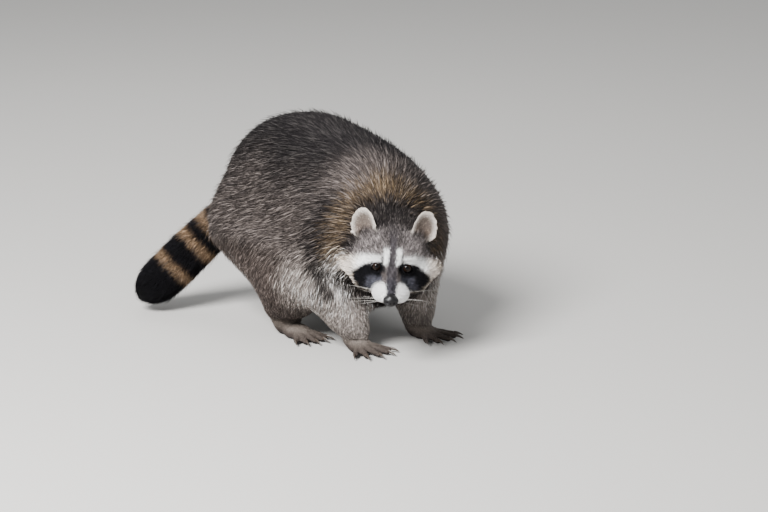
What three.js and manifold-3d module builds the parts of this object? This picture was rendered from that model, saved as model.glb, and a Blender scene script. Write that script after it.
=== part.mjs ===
// A life-size raccoon in mid-walk, with its back arched and its head low and turned to its right.
// Millimetres, +Z up. The animal faces -Y, and its right side is towards -X.
// The solids give the outline out to the tips of the coat. The body is one smooth field of
// ellipsoids and tapered limbs, meshed piece by piece and parted by thin flat cuts.
import * as THREE from 'three';
import { mergeVertices } from 'three/addons/utils/BufferGeometryUtils.js';
import Module from 'manifold-3d';

const wasm = await Module();
wasm.setup();

// ---------------------------------------------------------------- driving dimensions

const GAP = 0.4; // left between pieces that meet
const FAR = 1000; // reaches past the whole animal

const SIDES = { right: -1, left: 1 };

// Trunk: masses of body and coat, each an ellipsoid with its centre and radii.
const TRUNK_MASSES = [
  { part: 'rump', centre: [-2, 88, 182], radii: [100, 91, 114] },
  { part: 'loin', centre: [2, 34, 182], radii: [114, 112, 126] },
  { part: 'belly', centre: [0, 8, 140], radii: [110, 124, 84] },
  { part: 'ribs', centre: [5, -38, 172], radii: [116, 104, 117] },
  { part: 'shoulders', centre: [6, -92, 158], radii: [112, 84, 102] },
  { part: 'chest', centre: [-4, -120, 126], radii: [72, 60, 70] },
];
const TRUNK_BLEND = 24;

// Neck: a thick ruff from the shoulders to the back of the head.
const NECK = { from: [-12, -126, 162], to: [-32, -160, 152], fromRadius: 74, toRadius: 55 };
const NECK_BLEND = 20;
// The flat cuts at both ends of the neck. The collar's is in the body's frame, the nape's in the head's.
const COLLAR_CUT = { low: [-10, -148, 92], high: [-10, -100, 250], turn: -20 };
const NAPE_CUT = { low: [0, 20, -52], high: [0, 84, 36], turn: 0 };

// Head: its frame sits midway between the eyes. Turn, dip and roll are in degrees.
const HEAD = { at: [-78, -218, 139], turn: -42, dip: 18, roll: 4 };
const HEAD_BLEND = 11;
const CRANIUM = { centre: [0, 46, 3], radii: [51, 43, 38] };
const NAPE = { centre: [0, 68, -8], radii: [50, 38, 40] };
const CHEEK = { side: 42, back: 34, drop: 18, radii: [34, 25, 26] };
const JOWL = { side: 30, back: 21, drop: 33, radii: [27, 22, 19] };
const THROAT = { centre: [0, 38, -33], radii: [44, 34, 26] };
const BROW = { side: 20, back: 18, rise: 10, radii: [18, 14, 10] };
const MUZZLE = { from: [0, 14, -12], to: [0, -34, -25], fromRadius: 20, toRadius: 12 };
const WHISKER_PAD = { side: 13, ahead: 20, drop: 28, radii: [14.5, 19, 12.5] };
const CHIN = { from: [0, 10, -34], to: [0, -23, -38], fromRadius: 16, toRadius: 9.5 };
const MOUTH = { drop: 36, back: 2, slope: 3 };
const JAW_BLOCK = { width: 60, length: 120, height: 60 };

const EYE = { side: 20.9, back: 9.5, drop: 4.2, radius: 7.3 };
const NOSE = { centre: [0, -43.5, -25.5], radii: [11, 8.5, 9] };
const EAR = {
  side: 40, back: 42, rise: 25, // middle of the base
  width: 37, height: 58, sunk: 15, thickness: 5, cup: 9, // flat sizes; the rims stand forward by the cup
  fullness: 0.1, lobe: 0.42, // how far its middle and its lower half are wider than an ellipse
  bowl: 0.75, bowlTilt: 0.25, // share of the cup at its middle, and how much deeper it is below
  lean: 9, turn: 18, tilt: 8, // degrees: outwards, facing outwards, and back
};

// Tail: its middle line from inside the rump, and its thickness along it.
const TAIL_LINE = [[-4, 140, 168], [-45, 178, 137], [-88, 207, 90], [-122, 229, 51], [-139, 237, 36]];
const TAIL_RADII = [27, 31, 34.5, 35, 31];
const TAIL_STEPS = 10;
const TAIL_BLEND = 14;
const TAIL_STEP_BLEND = 4;
const TAIL_CUT = { share: 0.24, radius: 48 }; // share of the line where the tail leaves the rump

// Legs: joints from the top down, with the limb's thickness at each, for the right and left side.
const FORELEG = {
  right: { joints: [[-66, -92, 150], [-78, -80, 96], [-61, -123, 22]], radii: [50, 43, 25] },
  left: { joints: [[72, -94, 150], [78, -88, 96], [54, -128, 22]], radii: [54, 44, 25] },
};
const HINDLEG = {
  right: { joints: [[-58, 96, 150], [-81, -11, 98], [-75, 9, 27]], radii: [72, 57, 33] },
  left: { joints: [[58, 100, 150], [80, 74, 98], [68, 108, 27]], radii: [72, 53, 30] },
};
const LEG_BLEND = 16;
// The flat cut between leg and trunk: a sloping plane through (across, height), within a slab along Y.
const FORELEG_CUT = { across: 30, height: 62, slope: 42, from: -200, to: -58 };
const HINDLEG_CUT = { across: 32, height: 60, slope: 42, from: -56, to: 215 };

// Feet: flat on the floor, in a frame under the wrist or ankle with the toes ahead (-Y).
const FOREFOOT = {
  cutHeight: 22,
  turn: { right: -6, left: 8 },
  shank: { from: [0, 2, 15], to: [0, 4, 36], fromRadius: 18, toRadius: 25 },
  sole: [{ centre: [0, -11, 8], radii: [19, 21, 12] }],
  toeBase: { ahead: 21, height: 8.2, radius: 5.7 },
  toeTip: { height: 4.9, radius: 4.3 },
  toes: [
    { across: -13.5, turn: -40, length: 24 },
    { across: -8, turn: -18, length: 32 },
    { across: 0, turn: 0, length: 35 },
    { across: 8, turn: 18, length: 32 },
    { across: 13.5, turn: 38, length: 25 },
  ],
};
const HINDFOOT = {
  cutHeight: 27,
  turn: { right: -8, left: 8 },
  shank: { from: [0, 2, 18], to: [0, 4, 42], fromRadius: 21, toRadius: 31 },
  sole: [
    { centre: [0, 4, 9], radii: [15, 20, 12] },
    { centre: [0, -26, 8], radii: [20, 30, 12] },
  ],
  toeBase: { ahead: 45, height: 8.2, radius: 5.9 },
  toeTip: { height: 4.9, radius: 4.4 },
  toes: [
    { across: -14.5, turn: -30, length: 19 },
    { across: -8, turn: -13, length: 26 },
    { across: 0, turn: 0, length: 28 },
    { across: 8, turn: 13, length: 26 },
    { across: 14.5, turn: 30, length: 20 },
  ],
};
const CLAW = { length: 10, radius: 2.1, tipRadius: 0.45, droop: 3, height: 5.2, steps: 2, sides: 5 };

// The box in which the head is meshed, in its own frame, and the room left round other meshed pieces.
const HEAD_BOX = { low: [-95, -75, -80], high: [95, 120, 65] };
const ROOM = { trunk: 40, neck: 25, tail: 15, leg: 30 };

// Cell sizes of the meshed pieces: finest on the head, coarsest on the trunk.
const CELL = { head: 8.6, neck: 20, trunk: 24, tail: 17.5, leg: 18.5 };
// Segments round the turned pieces.
const SEGMENTS = { toe: 6, shank: 8, sole: 8, nose: 10, eye: 12, ear: 14 };
const RINGS_SHARE = { ball: 0.7, ear: 0.6 }; // rings for each segment round
const CAP_STEPS = 2; // rings in each round end of a toe or shank

const COAT = {
  back: { color: 0x4b4643, roughness: 0.9 },
  flank: { color: 0x6d6660, roughness: 0.9 },
  face: { color: 0x8b8782, roughness: 0.85 },
  tail: { color: 0x6a5444, roughness: 0.9 },
  ear: { color: 0xcfc6ba, roughness: 0.85 },
  foot: { color: 0x2f2a28, roughness: 0.85 },
};
const EYE_FINISH = { color: 0x0c0908, roughness: 0.05 };
const NOSE_FINISH = { color: 0x151313, roughness: 0.35 };
const CLAW_FINISH = { color: 0x2a2420, roughness: 0.4 };

// ---------------------------------------------------------------- fields
// A field gives about the distance from a point to a surface, below zero inside.

const vec = (a) => new THREE.Vector3(...a);
const radians = THREE.MathUtils.degToRad;

function ellipsoid({ centre, radii }) {
  const c = vec(centre);
  const r = vec(radii);
  const scaled = new THREE.Vector3();
  const steep = new THREE.Vector3();
  return (p) => {
    scaled.copy(p).sub(c).divide(r);
    steep.copy(scaled).divide(r);
    const k = scaled.length();
    return (k * (k - 1)) / Math.max(steep.length(), 1e-9);
  };
}

function taperedLimb({ from, to, fromRadius, toRadius }) {
  const a = vec(from);
  const axis = vec(to).sub(a);
  const reach = axis.lengthSq();
  const toPoint = new THREE.Vector3();
  return (p) => {
    toPoint.copy(p).sub(a);
    const share = THREE.MathUtils.clamp(toPoint.dot(axis) / reach, 0, 1);
    const radius = THREE.MathUtils.lerp(fromRadius, toRadius, share);
    return toPoint.addScaledVector(axis, -share).length() - radius;
  };
}

function chain(joints, radii) {
  const bones = [];
  for (let i = 0; i + 1 < joints.length; i += 1) {
    bones.push(taperedLimb({
      from: joints[i], to: joints[i + 1], fromRadius: radii[i], toRadius: radii[i + 1],
    }));
  }
  return bones;
}

// Smooth union: surfaces nearer than `width` run into each other.
function blend(width, ...fields) {
  return (p) => fields.reduce((sum, field) => {
    const next = field(p);
    const overlap = Math.max(width - Math.abs(sum - next), 0) / width;
    return Math.min(sum, next) - (overlap * overlap * width) / 4;
  }, Infinity);
}

// The same field, read in the coordinates of a frame, or out of them.
function moved(field, matrix) {
  const q = new THREE.Vector3();
  return (p) => field(q.copy(p).applyMatrix4(matrix));
}

// ---------------------------------------------------------------- meshes and solids

// Surface nets: one vertex in each cell that the surface crosses, drawn onto the surface.
function meshOfField(field, low, high, cell) {
  const count = ['x', 'y', 'z'].map((k) => Math.ceil((high[k] - low[k]) / cell) + 2);
  const node = (i, j, k) => (k * count[1] + j) * count[0] + i;
  const values = new Float64Array(count[0] * count[1] * count[2]);
  const p = new THREE.Vector3();
  const place = (i, j, k) => p.set(low.x + i * cell, low.y + j * cell, low.z + k * cell);
  const limits = count.map((n) => n - 1);
  for (let k = 0; k <= limits[2]; k += 1) {
    for (let j = 0; j <= limits[1]; j += 1) {
      for (let i = 0; i <= limits[0]; i += 1) {
        const rim = [i, j, k].some((n, axis) => n === 0 || n === limits[axis]);
        const value = field(place(i, j, k));
        values[node(i, j, k)] = rim ? Math.max(value, cell / 2) : value;
      }
    }
  }

  const steps = [[1, 0, 0], [0, 1, 0], [0, 0, 1]];
  const positions = [];
  const vertexOfCell = new Int32Array(values.length).fill(-1);
  const crossing = new THREE.Vector3();
  for (let k = 0; k < limits[2]; k += 1) {
    for (let j = 0; j < limits[1]; j += 1) {
      for (let i = 0; i < limits[0]; i += 1) {
        crossing.set(0, 0, 0);
        let hits = 0;
        for (let corner = 0; corner < 8; corner += 1) {
          const at = [corner & 1, (corner >> 1) & 1, (corner >> 2) & 1];
          for (const step of steps) {
            if (at.some((n, axis) => n && step[axis])) continue;
            const v0 = values[node(i + at[0], j + at[1], k + at[2])];
            const v1 = values[node(i + at[0] + step[0], j + at[1] + step[1], k + at[2] + step[2])];
            if (v0 < 0 === v1 < 0) continue;
            const t = v0 / (v0 - v1);
            crossing.x += at[0] + t * step[0];
            crossing.y += at[1] + t * step[1];
            crossing.z += at[2] + t * step[2];
            hits += 1;
          }
        }
        if (!hits) continue;
        crossing.divideScalar(hits);
        place(i + crossing.x, j + crossing.y, k + crossing.z);
        drawOnto(field, p, cell);
        vertexOfCell[node(i, j, k)] = positions.length / 3;
        positions.push(p.x, p.y, p.z);
      }
    }
  }

  const index = [];
  for (let k = 0; k < limits[2]; k += 1) {
    for (let j = 0; j < limits[1]; j += 1) {
      for (let i = 0; i < limits[0]; i += 1) {
        for (let axis = 0; axis < 3; axis += 1) {
          if ([i, j, k].some((n, other) => other !== axis && n === 0)) continue;
          const [dx, dy, dz] = steps[axis];
          const inside = values[node(i, j, k)] < 0;
          if (inside === values[node(i + dx, j + dy, k + dz)] < 0) continue;
          const [ux, uy, uz] = steps[(axis + 1) % 3];
          const [wx, wy, wz] = steps[(axis + 2) % 3];
          const ring = [
            node(i - ux - wx, j - uy - wy, k - uz - wz), node(i - wx, j - wy, k - wz),
            node(i, j, k), node(i - ux, j - uy, k - uz),
          ].map((cellNode) => vertexOfCell[cellNode]);
          if (!inside) ring.reverse();
          index.push(ring[0], ring[1], ring[2], ring[0], ring[2], ring[3]);
        }
      }
    }
  }
  const geometry = new THREE.BufferGeometry();
  geometry.setAttribute('position', new THREE.Float32BufferAttribute(positions, 3));
  geometry.setIndex(index);
  return geometry;
}

// Moves a point onto the surface along the slope of the field, by less than half a cell.
function drawOnto(field, p, cell) {
  const probe = 0.01;
  const q = new THREE.Vector3();
  const slope = new THREE.Vector3();
  for (let round = 0; round < 3; round += 1) {
    const here = field(p);
    slope.set(
      field(q.set(p.x + probe, p.y, p.z)) - here,
      field(q.set(p.x, p.y + probe, p.z)) - here,
      field(q.set(p.x, p.y, p.z + probe)) - here,
    ).divideScalar(probe);
    const step = -here / Math.max(slope.lengthSq(), 0.2);
    p.addScaledVector(slope, THREE.MathUtils.clamp(step, -cell * 0.4, cell * 0.4));
  }
}

function solidOf(geometry, matrix = new THREE.Matrix4()) {
  const bare = new THREE.BufferGeometry();
  bare.setAttribute('position', geometry.getAttribute('position').clone());
  if (geometry.index) bare.setIndex(geometry.index.clone());
  const merged = mergeVertices(bare.applyMatrix4(matrix), 1e-3);
  const corners = merged.index.array;
  const triVerts = [];
  for (let i = 0; i < corners.length; i += 3) {
    const [a, b, c] = [corners[i], corners[i + 1], corners[i + 2]];
    if (a !== b && b !== c && c !== a) triVerts.push(a, b, c);
  }
  return new wasm.Manifold(new wasm.Mesh({
    numProp: 3,
    vertProperties: new Float32Array(merged.getAttribute('position').array),
    triVerts: new Uint32Array(triVerts),
  }));
}

function geometryOf(solid) {
  const mesh = solid.getMesh();
  const geometry = new THREE.BufferGeometry();
  geometry.setAttribute('position', new THREE.BufferAttribute(new Float32Array(mesh.vertProperties), 3));
  geometry.setIndex(new THREE.BufferAttribute(new Uint32Array(mesh.triVerts), 1));
  geometry.computeVertexNormals();
  return geometry;
}

// All of space on one side of a plane: below its own XY plane, once placed by `matrix`.
function halfSpace(matrix, shift = 0) {
  const block = new THREE.BoxGeometry(2 * FAR, 2 * FAR, 2 * FAR);
  block.translate(0, 0, -FAR + shift);
  return solidOf(block, matrix);
}

// A frame at a point with its +Z along a direction.
function frameAlong(point, direction) {
  const turn = new THREE.Quaternion().setFromUnitVectors(
    new THREE.Vector3(0, 0, 1),
    direction.clone().normalize(),
  );
  return new THREE.Matrix4().compose(point, turn, new THREE.Vector3(1, 1, 1));
}

// ---------------------------------------------------------------- the whole body as one field

// The head's frame: X to its left, Y to its back, Z up, turned and dipped as one.
const headTurn = new THREE.Euler(radians(HEAD.dip), radians(HEAD.roll), radians(HEAD.turn), 'ZXY');
const headFrame = new THREE.Matrix4().makeRotationFromEuler(headTurn).setPosition(...HEAD.at);
const toHead = headFrame.clone().invert();

const mirrored = ([x, y, z]) => [[x, y, z], [-x, y, z]];

function headField() {
  const pairs = [
    ...mirrored([CHEEK.side, CHEEK.back, -CHEEK.drop]).map((centre) => ({ centre, radii: CHEEK.radii })),
    ...mirrored([JOWL.side, JOWL.back, -JOWL.drop]).map((centre) => ({ centre, radii: JOWL.radii })),
    ...mirrored([BROW.side, BROW.back, BROW.rise]).map((centre) => ({ centre, radii: BROW.radii })),
  ];
  const pads = mirrored([WHISKER_PAD.side, -WHISKER_PAD.ahead, -WHISKER_PAD.drop])
    .map((centre) => ellipsoid({ centre, radii: WHISKER_PAD.radii }));
  const skull = blend(HEAD_BLEND, ellipsoid(CRANIUM), ellipsoid(NAPE), ellipsoid(THROAT), ...pairs.map(ellipsoid));
  const face = blend(HEAD_BLEND / 2, taperedLimb(MUZZLE), taperedLimb(CHIN), ...pads);
  return blend(HEAD_BLEND, skull, face);
}

const tailCurve = new THREE.CatmullRomCurve3(TAIL_LINE.map(vec));

function tailRadius(share) {
  const place = share * (TAIL_RADII.length - 1);
  const i = Math.min(Math.floor(place), TAIL_RADII.length - 2);
  return THREE.MathUtils.lerp(TAIL_RADII[i], TAIL_RADII[i + 1], place - i);
}

function tailField() {
  const shares = Array.from({ length: TAIL_STEPS + 1 }, (_, i) => i / TAIL_STEPS);
  const points = shares.map((share) => tailCurve.getPoint(share).toArray());
  return blend(TAIL_STEP_BLEND, ...chain(points, shares.map(tailRadius)));
}

const limbs = [FORELEG, HINDLEG]
  .flatMap((pair) => [pair.right, pair.left])
  .map((leg) => blend(LEG_BLEND, ...chain(leg.joints, leg.radii)));
const trunkField = blend(TRUNK_BLEND, ...TRUNK_MASSES.map(ellipsoid));
const barrel = blend(LEG_BLEND, trunkField, ...limbs);
const bodyField = blend(TAIL_BLEND, barrel, tailField());
const wholeField = blend(NECK_BLEND, bodyField, taperedLimb(NECK), moved(headField(), toHead));

// ---------------------------------------------------------------- the planes that part it

// A plane that rises from a low point to a high one, square to the animal's `turn`.
// Its frame's +Z points ahead.
function risingPlane({ low, high, turn }) {
  const across = new THREE.Vector3(Math.cos(radians(turn)), Math.sin(radians(turn)), 0);
  return frameAlong(vec(low), across.cross(vec(high).sub(vec(low))));
}

// Head from neck: from the throat up to the nape, in the head's frame and in the body's.
const napeInHead = risingPlane(NAPE_CUT);
const napePlane = headFrame.clone().multiply(napeInHead);
// Neck from trunk: from the front of the chest up to the withers.
const collarPlane = risingPlane(COLLAR_CUT);
// Tail from rump: a round block of space along the tail, with a flat end across its root.
function tailBlock(grow) {
  const block = new THREE.CylinderGeometry(TAIL_CUT.radius + grow, TAIL_CUT.radius + grow, FAR, 24);
  block.rotateX(Math.PI / 2); // along +Z
  block.translate(0, 0, FAR / 2 - grow);
  return solidOf(block, frameAlong(
    tailCurve.getPoint(TAIL_CUT.share),
    tailCurve.getPoint(1).sub(tailCurve.getPoint(TAIL_CUT.share)),
  ));
}

function behind(plane) {
  return halfSpace(plane, -GAP / 2);
}

function ahead(plane) {
  return halfSpace(plane.clone().multiply(new THREE.Matrix4().makeRotationX(Math.PI)), -GAP / 2);
}

function aboveFloor(height = 0) {
  return ahead(new THREE.Matrix4().makeTranslation(0, 0, height - GAP / 2));
}

// The block of space that holds a leg. `grow` widens it, so that what is left keeps its gap.
function legBlock(cut, side, grow) {
  const block = new THREE.BoxGeometry(2 * FAR, cut.to - cut.from + 2 * grow, 2 * FAR);
  block.translate(0, (cut.from + cut.to) / 2, -FAR + grow);
  const slope = new THREE.Matrix4().makeRotationY(-side * radians(cut.slope));
  return solidOf(block, slope.premultiply(
    new THREE.Matrix4().makeTranslation(side * cut.across, 0, cut.height),
  ));
}

// ---------------------------------------------------------------- pieces

function meshNear(points, margin, cell) {
  const box = new THREE.Box3().setFromPoints(points).expandByScalar(margin);
  return solidOf(meshOfField(wholeField, box.min, box.max, cell));
}

function trunkSolid() {
  const corners = TRUNK_MASSES.flatMap(({ centre, radii }) => [
    vec(centre).add(vec(radii)),
    vec(centre).sub(vec(radii)),
  ]);
  return largest(withoutLegs(meshNear(corners, ROOM.trunk, CELL.trunk)
    .intersect(behind(collarPlane))
    .subtract(tailBlock(GAP))));
}

function withoutLegs(solid) {
  return Object.values(SIDES).reduce((rest, side) => rest
    .subtract(legBlock(FORELEG_CUT, side, GAP))
    .subtract(legBlock(HINDLEG_CUT, side, GAP)), solid);
}

// A cut can leave crumbs of a neighbouring piece: the body wanted is the biggest one.
function largest(solid) {
  return solid.decompose().reduce((best, body) => (body.volume() > best.volume() ? body : best));
}

function neckSolid() {
  const ends = [vec(NECK.from), vec(NECK.to)];
  return largest(withoutLegs(meshNear(ends, NECK.fromRadius + ROOM.neck, CELL.neck)
    .intersect(ahead(collarPlane))
    .intersect(behind(napePlane))));
}

function tailSolid() {
  const points = TAIL_LINE.map(vec);
  return largest(meshNear(points, Math.max(...TAIL_RADII) + ROOM.tail, CELL.tail)
    .intersect(tailBlock(0)));
}

function legSolid(leg, cut, side, footCut) {
  return largest(meshNear(leg.joints.map(vec), leg.radii[0] + ROOM.leg, CELL.leg)
    .intersect(legBlock(cut, side, 0))
    .intersect(behind(collarPlane))
    .subtract(tailBlock(GAP))
    .intersect(aboveFloor(footCut)));
}

const inHeadFrame = moved(wholeField, headFrame);

function headSolid() {
  return solidOf(meshOfField(inHeadFrame, vec(HEAD_BOX.low), vec(HEAD_BOX.high), CELL.head));
}

// The jaw's block in the head's frame: below a plane along the mouth, ahead of the throat.
function jawBlock(grow) {
  const { width, length, height } = JAW_BLOCK;
  const block = new THREE.BoxGeometry(width, length, height);
  block.translate(0, -length / 2 + grow, -height / 2 + grow);
  const tilt = new THREE.Matrix4().makeRotationX(radians(MOUTH.slope));
  return solidOf(block, tilt.premultiply(
    new THREE.Matrix4().makeTranslation(0, MOUTH.back, -MOUTH.drop),
  ));
}

function roundSolid({ centre, radii }, segments, grow = 0) {
  const ball = new THREE.SphereGeometry(1, segments, Math.round(segments * RINGS_SHARE.ball));
  ball.rotateX(Math.PI / 2);
  ball.scale(...radii.map((r) => r + grow));
  ball.translate(...centre);
  return solidOf(ball);
}

const eyeball = (side) => ({
  centre: [side * EYE.side, EYE.back, -EYE.drop],
  radii: [EYE.radius, EYE.radius, EYE.radius],
});

// An ear: a rounded leaf, cupped so that its rims stand forward, in the head's frame.
function earSolid(side) {
  const leaf = new THREE.SphereGeometry(1, SEGMENTS.ear, Math.round(SEGMENTS.ear * RINGS_SHARE.ear));
  leaf.rotateX(Math.PI / 2);
  const at = leaf.getAttribute('position');
  const halfHeight = EAR.height / 2;
  for (let i = 0; i < at.count; i += 1) {
    const [x, y, z] = [at.getX(i), at.getY(i), at.getZ(i)];
    const fullness = 1 + EAR.fullness * (1 - z * z) + EAR.lobe * Math.max(-z, 0) * (1 - z * z);
    at.setXYZ(
      i,
      (x * fullness * EAR.width) / 2,
      (y * EAR.thickness) / 2 + EAR.cup * (1 - x * x) * (EAR.bowl - EAR.bowlTilt * z) - EAR.cup / 2,
      (z + 1) * halfHeight - EAR.sunk,
    );
  }
  const place = new THREE.Matrix4()
    .makeTranslation(side * EAR.side, EAR.back, EAR.rise)
    .multiply(new THREE.Matrix4().makeRotationZ(side * radians(EAR.turn)))
    .multiply(new THREE.Matrix4().makeRotationY(side * radians(EAR.lean)))
    .multiply(new THREE.Matrix4().makeRotationX(-radians(EAR.tilt)));
  return solidOf(leaf, place);
}

// A limb with round ends, between two points.
function taperedSolid({ from, to, fromRadius, toRadius }, segments) {
  const axis = vec(to).sub(vec(from));
  const length = axis.length();
  const lift = Math.asin(THREE.MathUtils.clamp((fromRadius - toRadius) / length, -0.9, 0.9));
  const profile = [];
  for (let i = 0; i <= CAP_STEPS; i += 1) {
    const angle = THREE.MathUtils.lerp(-Math.PI / 2, lift, i / CAP_STEPS);
    profile.push([fromRadius * Math.cos(angle), fromRadius * Math.sin(angle)]);
  }
  for (let i = 0; i <= CAP_STEPS; i += 1) {
    const angle = THREE.MathUtils.lerp(lift, Math.PI / 2, i / CAP_STEPS);
    profile.push([toRadius * Math.cos(angle), length + toRadius * Math.sin(angle)]);
  }
  profile[0][0] = 0;
  profile[profile.length - 1][0] = 0;
  const lathe = new THREE.LatheGeometry(profile.map(([r, h]) => new THREE.Vector2(r, h)), segments);
  lathe.rotateX(Math.PI / 2);
  return outward(solidOf(lathe, frameAlong(vec(from), axis)));
}

// A solid whose faces pointed inwards has a volume below zero, and is turned out again.
function outward(solid) {
  if (solid.volume() > 0) return solid;
  const mesh = solid.getMesh();
  const triVerts = new Uint32Array(mesh.triVerts);
  for (let i = 0; i < triVerts.length; i += 3) {
    [triVerts[i], triVerts[i + 1]] = [triVerts[i + 1], triVerts[i]];
  }
  return new wasm.Manifold(new wasm.Mesh({ numProp: 3, vertProperties: mesh.vertProperties, triVerts }));
}

// A claw: a cone that droops towards its tip, just ahead of the toe's end.
function clawSolid(foot, toe) {
  const cone = new THREE.CylinderGeometry(CLAW.tipRadius, CLAW.radius, CLAW.length, CLAW.sides, CLAW.steps);
  cone.translate(0, CLAW.length / 2, 0);
  cone.rotateX(Math.PI / 2); // along +Z, with its base at the origin
  cone.rotateX(Math.PI / 2); // and now ahead, towards -Y
  const at = cone.getAttribute('position');
  for (let i = 0; i < at.count; i += 1) {
    const share = -at.getY(i) / CLAW.length;
    at.setZ(i, at.getZ(i) - CLAW.droop * share * share);
  }
  const tip = toeTip(foot, toe);
  const place = new THREE.Matrix4()
    .makeTranslation(tip.x, tip.y, CLAW.height)
    .multiply(new THREE.Matrix4().makeRotationZ(radians(toe.turn)))
    .multiply(new THREE.Matrix4().makeTranslation(0, -foot.toeTip.radius - GAP, 0));
  return solidOf(cone, place);
}

function toeTip(foot, toe) {
  const ahead2d = new THREE.Vector2(0, -toe.length).rotateAround(new THREE.Vector2(), radians(toe.turn));
  return new THREE.Vector3(toe.across + ahead2d.x, -foot.toeBase.ahead + ahead2d.y, foot.toeTip.height);
}

function footSolid(foot) {
  let solid = taperedSolid(foot.shank, SEGMENTS.shank);
  for (const pad of foot.sole) solid = solid.add(roundSolid(pad, SEGMENTS.sole));
  for (const toe of foot.toes) {
    solid = solid.add(taperedSolid({
      from: [toe.across, -foot.toeBase.ahead, foot.toeBase.height],
      to: toeTip(foot, toe).toArray(),
      fromRadius: foot.toeBase.radius,
      toRadius: foot.toeTip.radius,
    }, SEGMENTS.toe));
  }
  return largest(solid
    .intersect(aboveFloor())
    .intersect(behind(new THREE.Matrix4().makeTranslation(0, 0, foot.cutHeight))));
}

// ---------------------------------------------------------------- assembly

function named(name, solid, finish) {
  const material = new THREE.MeshStandardMaterial({ ...finish, metalness: 0 });
  const mesh = new THREE.Mesh(geometryOf(solid), material);
  mesh.name = name;
  return mesh;
}

function head() {
  const group = new THREE.Group();
  group.applyMatrix4(headFrame);
  let skull = headSolid().intersect(ahead(napeInHead));
  skull = skull.subtract(roundSolid(NOSE, SEGMENTS.nose, GAP));
  const jaw = largest(skull.intersect(jawBlock(0)));
  skull = skull.subtract(jawBlock(GAP));
  for (const side of Object.values(SIDES)) {
    skull = skull.subtract(roundSolid(eyeball(side), SEGMENTS.eye, GAP));
  }
  skull = largest(skull);
  const grown = solidOf(meshOfField(
    (p) => inHeadFrame(p) - GAP,
    vec(HEAD_BOX.low),
    vec(HEAD_BOX.high),
    CELL.head,
  ));
  group.add(named('head', skull, COAT.face), named('lower_jaw', jaw, COAT.face));
  group.add(named('nose', roundSolid(NOSE, SEGMENTS.nose), NOSE_FINISH));
  for (const [name, side] of Object.entries(SIDES)) {
    group.add(named(`eye_${name}`, roundSolid(eyeball(side), SEGMENTS.eye), EYE_FINISH));
    group.add(named(`ear_${name}`, largest(earSolid(side).subtract(grown)), COAT.ear));
  }
  return group;
}

function feet(kind, foot, legs) {
  const group = new THREE.Group();
  const solid = footSolid(foot);
  for (const name of Object.keys(SIDES)) {
    const ankle = legs[name].joints.at(-1);
    const pair = new THREE.Group();
    pair.position.set(ankle[0], ankle[1], 0);
    pair.rotation.z = radians(foot.turn[name]);
    pair.add(named(`${kind}foot_${name}`, solid, COAT.foot));
    foot.toes.forEach((toe, i) => {
      pair.add(named(`${kind}claw_${name}_${i + 1}`, clawSolid(foot, toe), CLAW_FINISH));
    });
    group.add(pair);
  }
  return group;
}

const raccoon = new THREE.Group();
raccoon.add(named('trunk', trunkSolid(), COAT.back));
raccoon.add(named('neck', neckSolid(), COAT.flank));
raccoon.add(named('tail', tailSolid(), COAT.tail));
for (const [name, side] of Object.entries(SIDES)) {
  raccoon.add(named(
    `foreleg_${name}`,
    legSolid(FORELEG[name], FORELEG_CUT, side, FOREFOOT.cutHeight),
    COAT.flank,
  ));
  raccoon.add(named(
    `hindleg_${name}`,
    legSolid(HINDLEG[name], HINDLEG_CUT, side, HINDFOOT.cutHeight),
    COAT.flank,
  ));
}
raccoon.add(head(), feet('fore', FOREFOOT, FORELEG), feet('hind', HINDFOOT, HINDLEG));

// The model's own origin is on the floor, at the middle of its box.
const reach = new THREE.Box3().setFromObject(raccoon, true);
const middle = reach.getCenter(new THREE.Vector3());
raccoon.position.set(-middle.x, -middle.y, -reach.min.z);

export default raccoon;
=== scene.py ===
"""Dresses a life-size raccoon's solids in skin, a coat of solid locks, eyes, nose, claws and whiskers."""

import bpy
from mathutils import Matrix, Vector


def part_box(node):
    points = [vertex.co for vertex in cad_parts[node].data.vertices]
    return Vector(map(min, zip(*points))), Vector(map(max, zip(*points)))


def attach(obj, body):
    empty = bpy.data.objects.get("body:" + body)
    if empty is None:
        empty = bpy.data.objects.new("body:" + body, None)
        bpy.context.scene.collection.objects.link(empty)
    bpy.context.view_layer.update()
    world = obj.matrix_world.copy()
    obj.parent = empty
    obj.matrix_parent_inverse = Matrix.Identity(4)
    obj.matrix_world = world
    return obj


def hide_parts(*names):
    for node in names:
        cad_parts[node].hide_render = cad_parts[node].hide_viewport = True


bl_info = {
    "name": "Raccoon Museum Model",
    "version": (1, 0, 0),
    "blender": (4, 5, 0),
    "location": "3D View > Sidebar > Raccoon",
    "description": "Skin, coat, eyes, nose, claws and stage for a life-size raccoon",
    "category": "Object",
}

import math

import bmesh
import bpy
import numpy as np
from mathutils import Matrix, Vector
from mathutils.bvhtree import BVHTree
from mathutils.kdtree import KDTree

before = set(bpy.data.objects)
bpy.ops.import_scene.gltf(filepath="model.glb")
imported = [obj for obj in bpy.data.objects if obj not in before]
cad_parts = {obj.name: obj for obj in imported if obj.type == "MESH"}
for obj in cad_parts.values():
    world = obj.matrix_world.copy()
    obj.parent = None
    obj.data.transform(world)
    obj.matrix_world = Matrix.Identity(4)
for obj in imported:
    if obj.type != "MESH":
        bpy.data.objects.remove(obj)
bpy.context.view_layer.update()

MM = 0.001
SIDES = {"right": -1, "left": 1}

# The solids that the skin stands for, by part of the body.
FLESH = {
    "head": ("head", "lower_jaw"),
    "ear": ("ear_right", "ear_left"),
    "neck": ("neck",),
    "trunk": ("trunk",),
    "tail": ("tail",),
    "leg": ("foreleg_right", "foreleg_left", "hindleg_right", "hindleg_left"),
    "foot": ("forefoot_right", "forefoot_left", "hindfoot_right", "hindfoot_left"),
}
PART_NAMES = list(FLESH)


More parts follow.
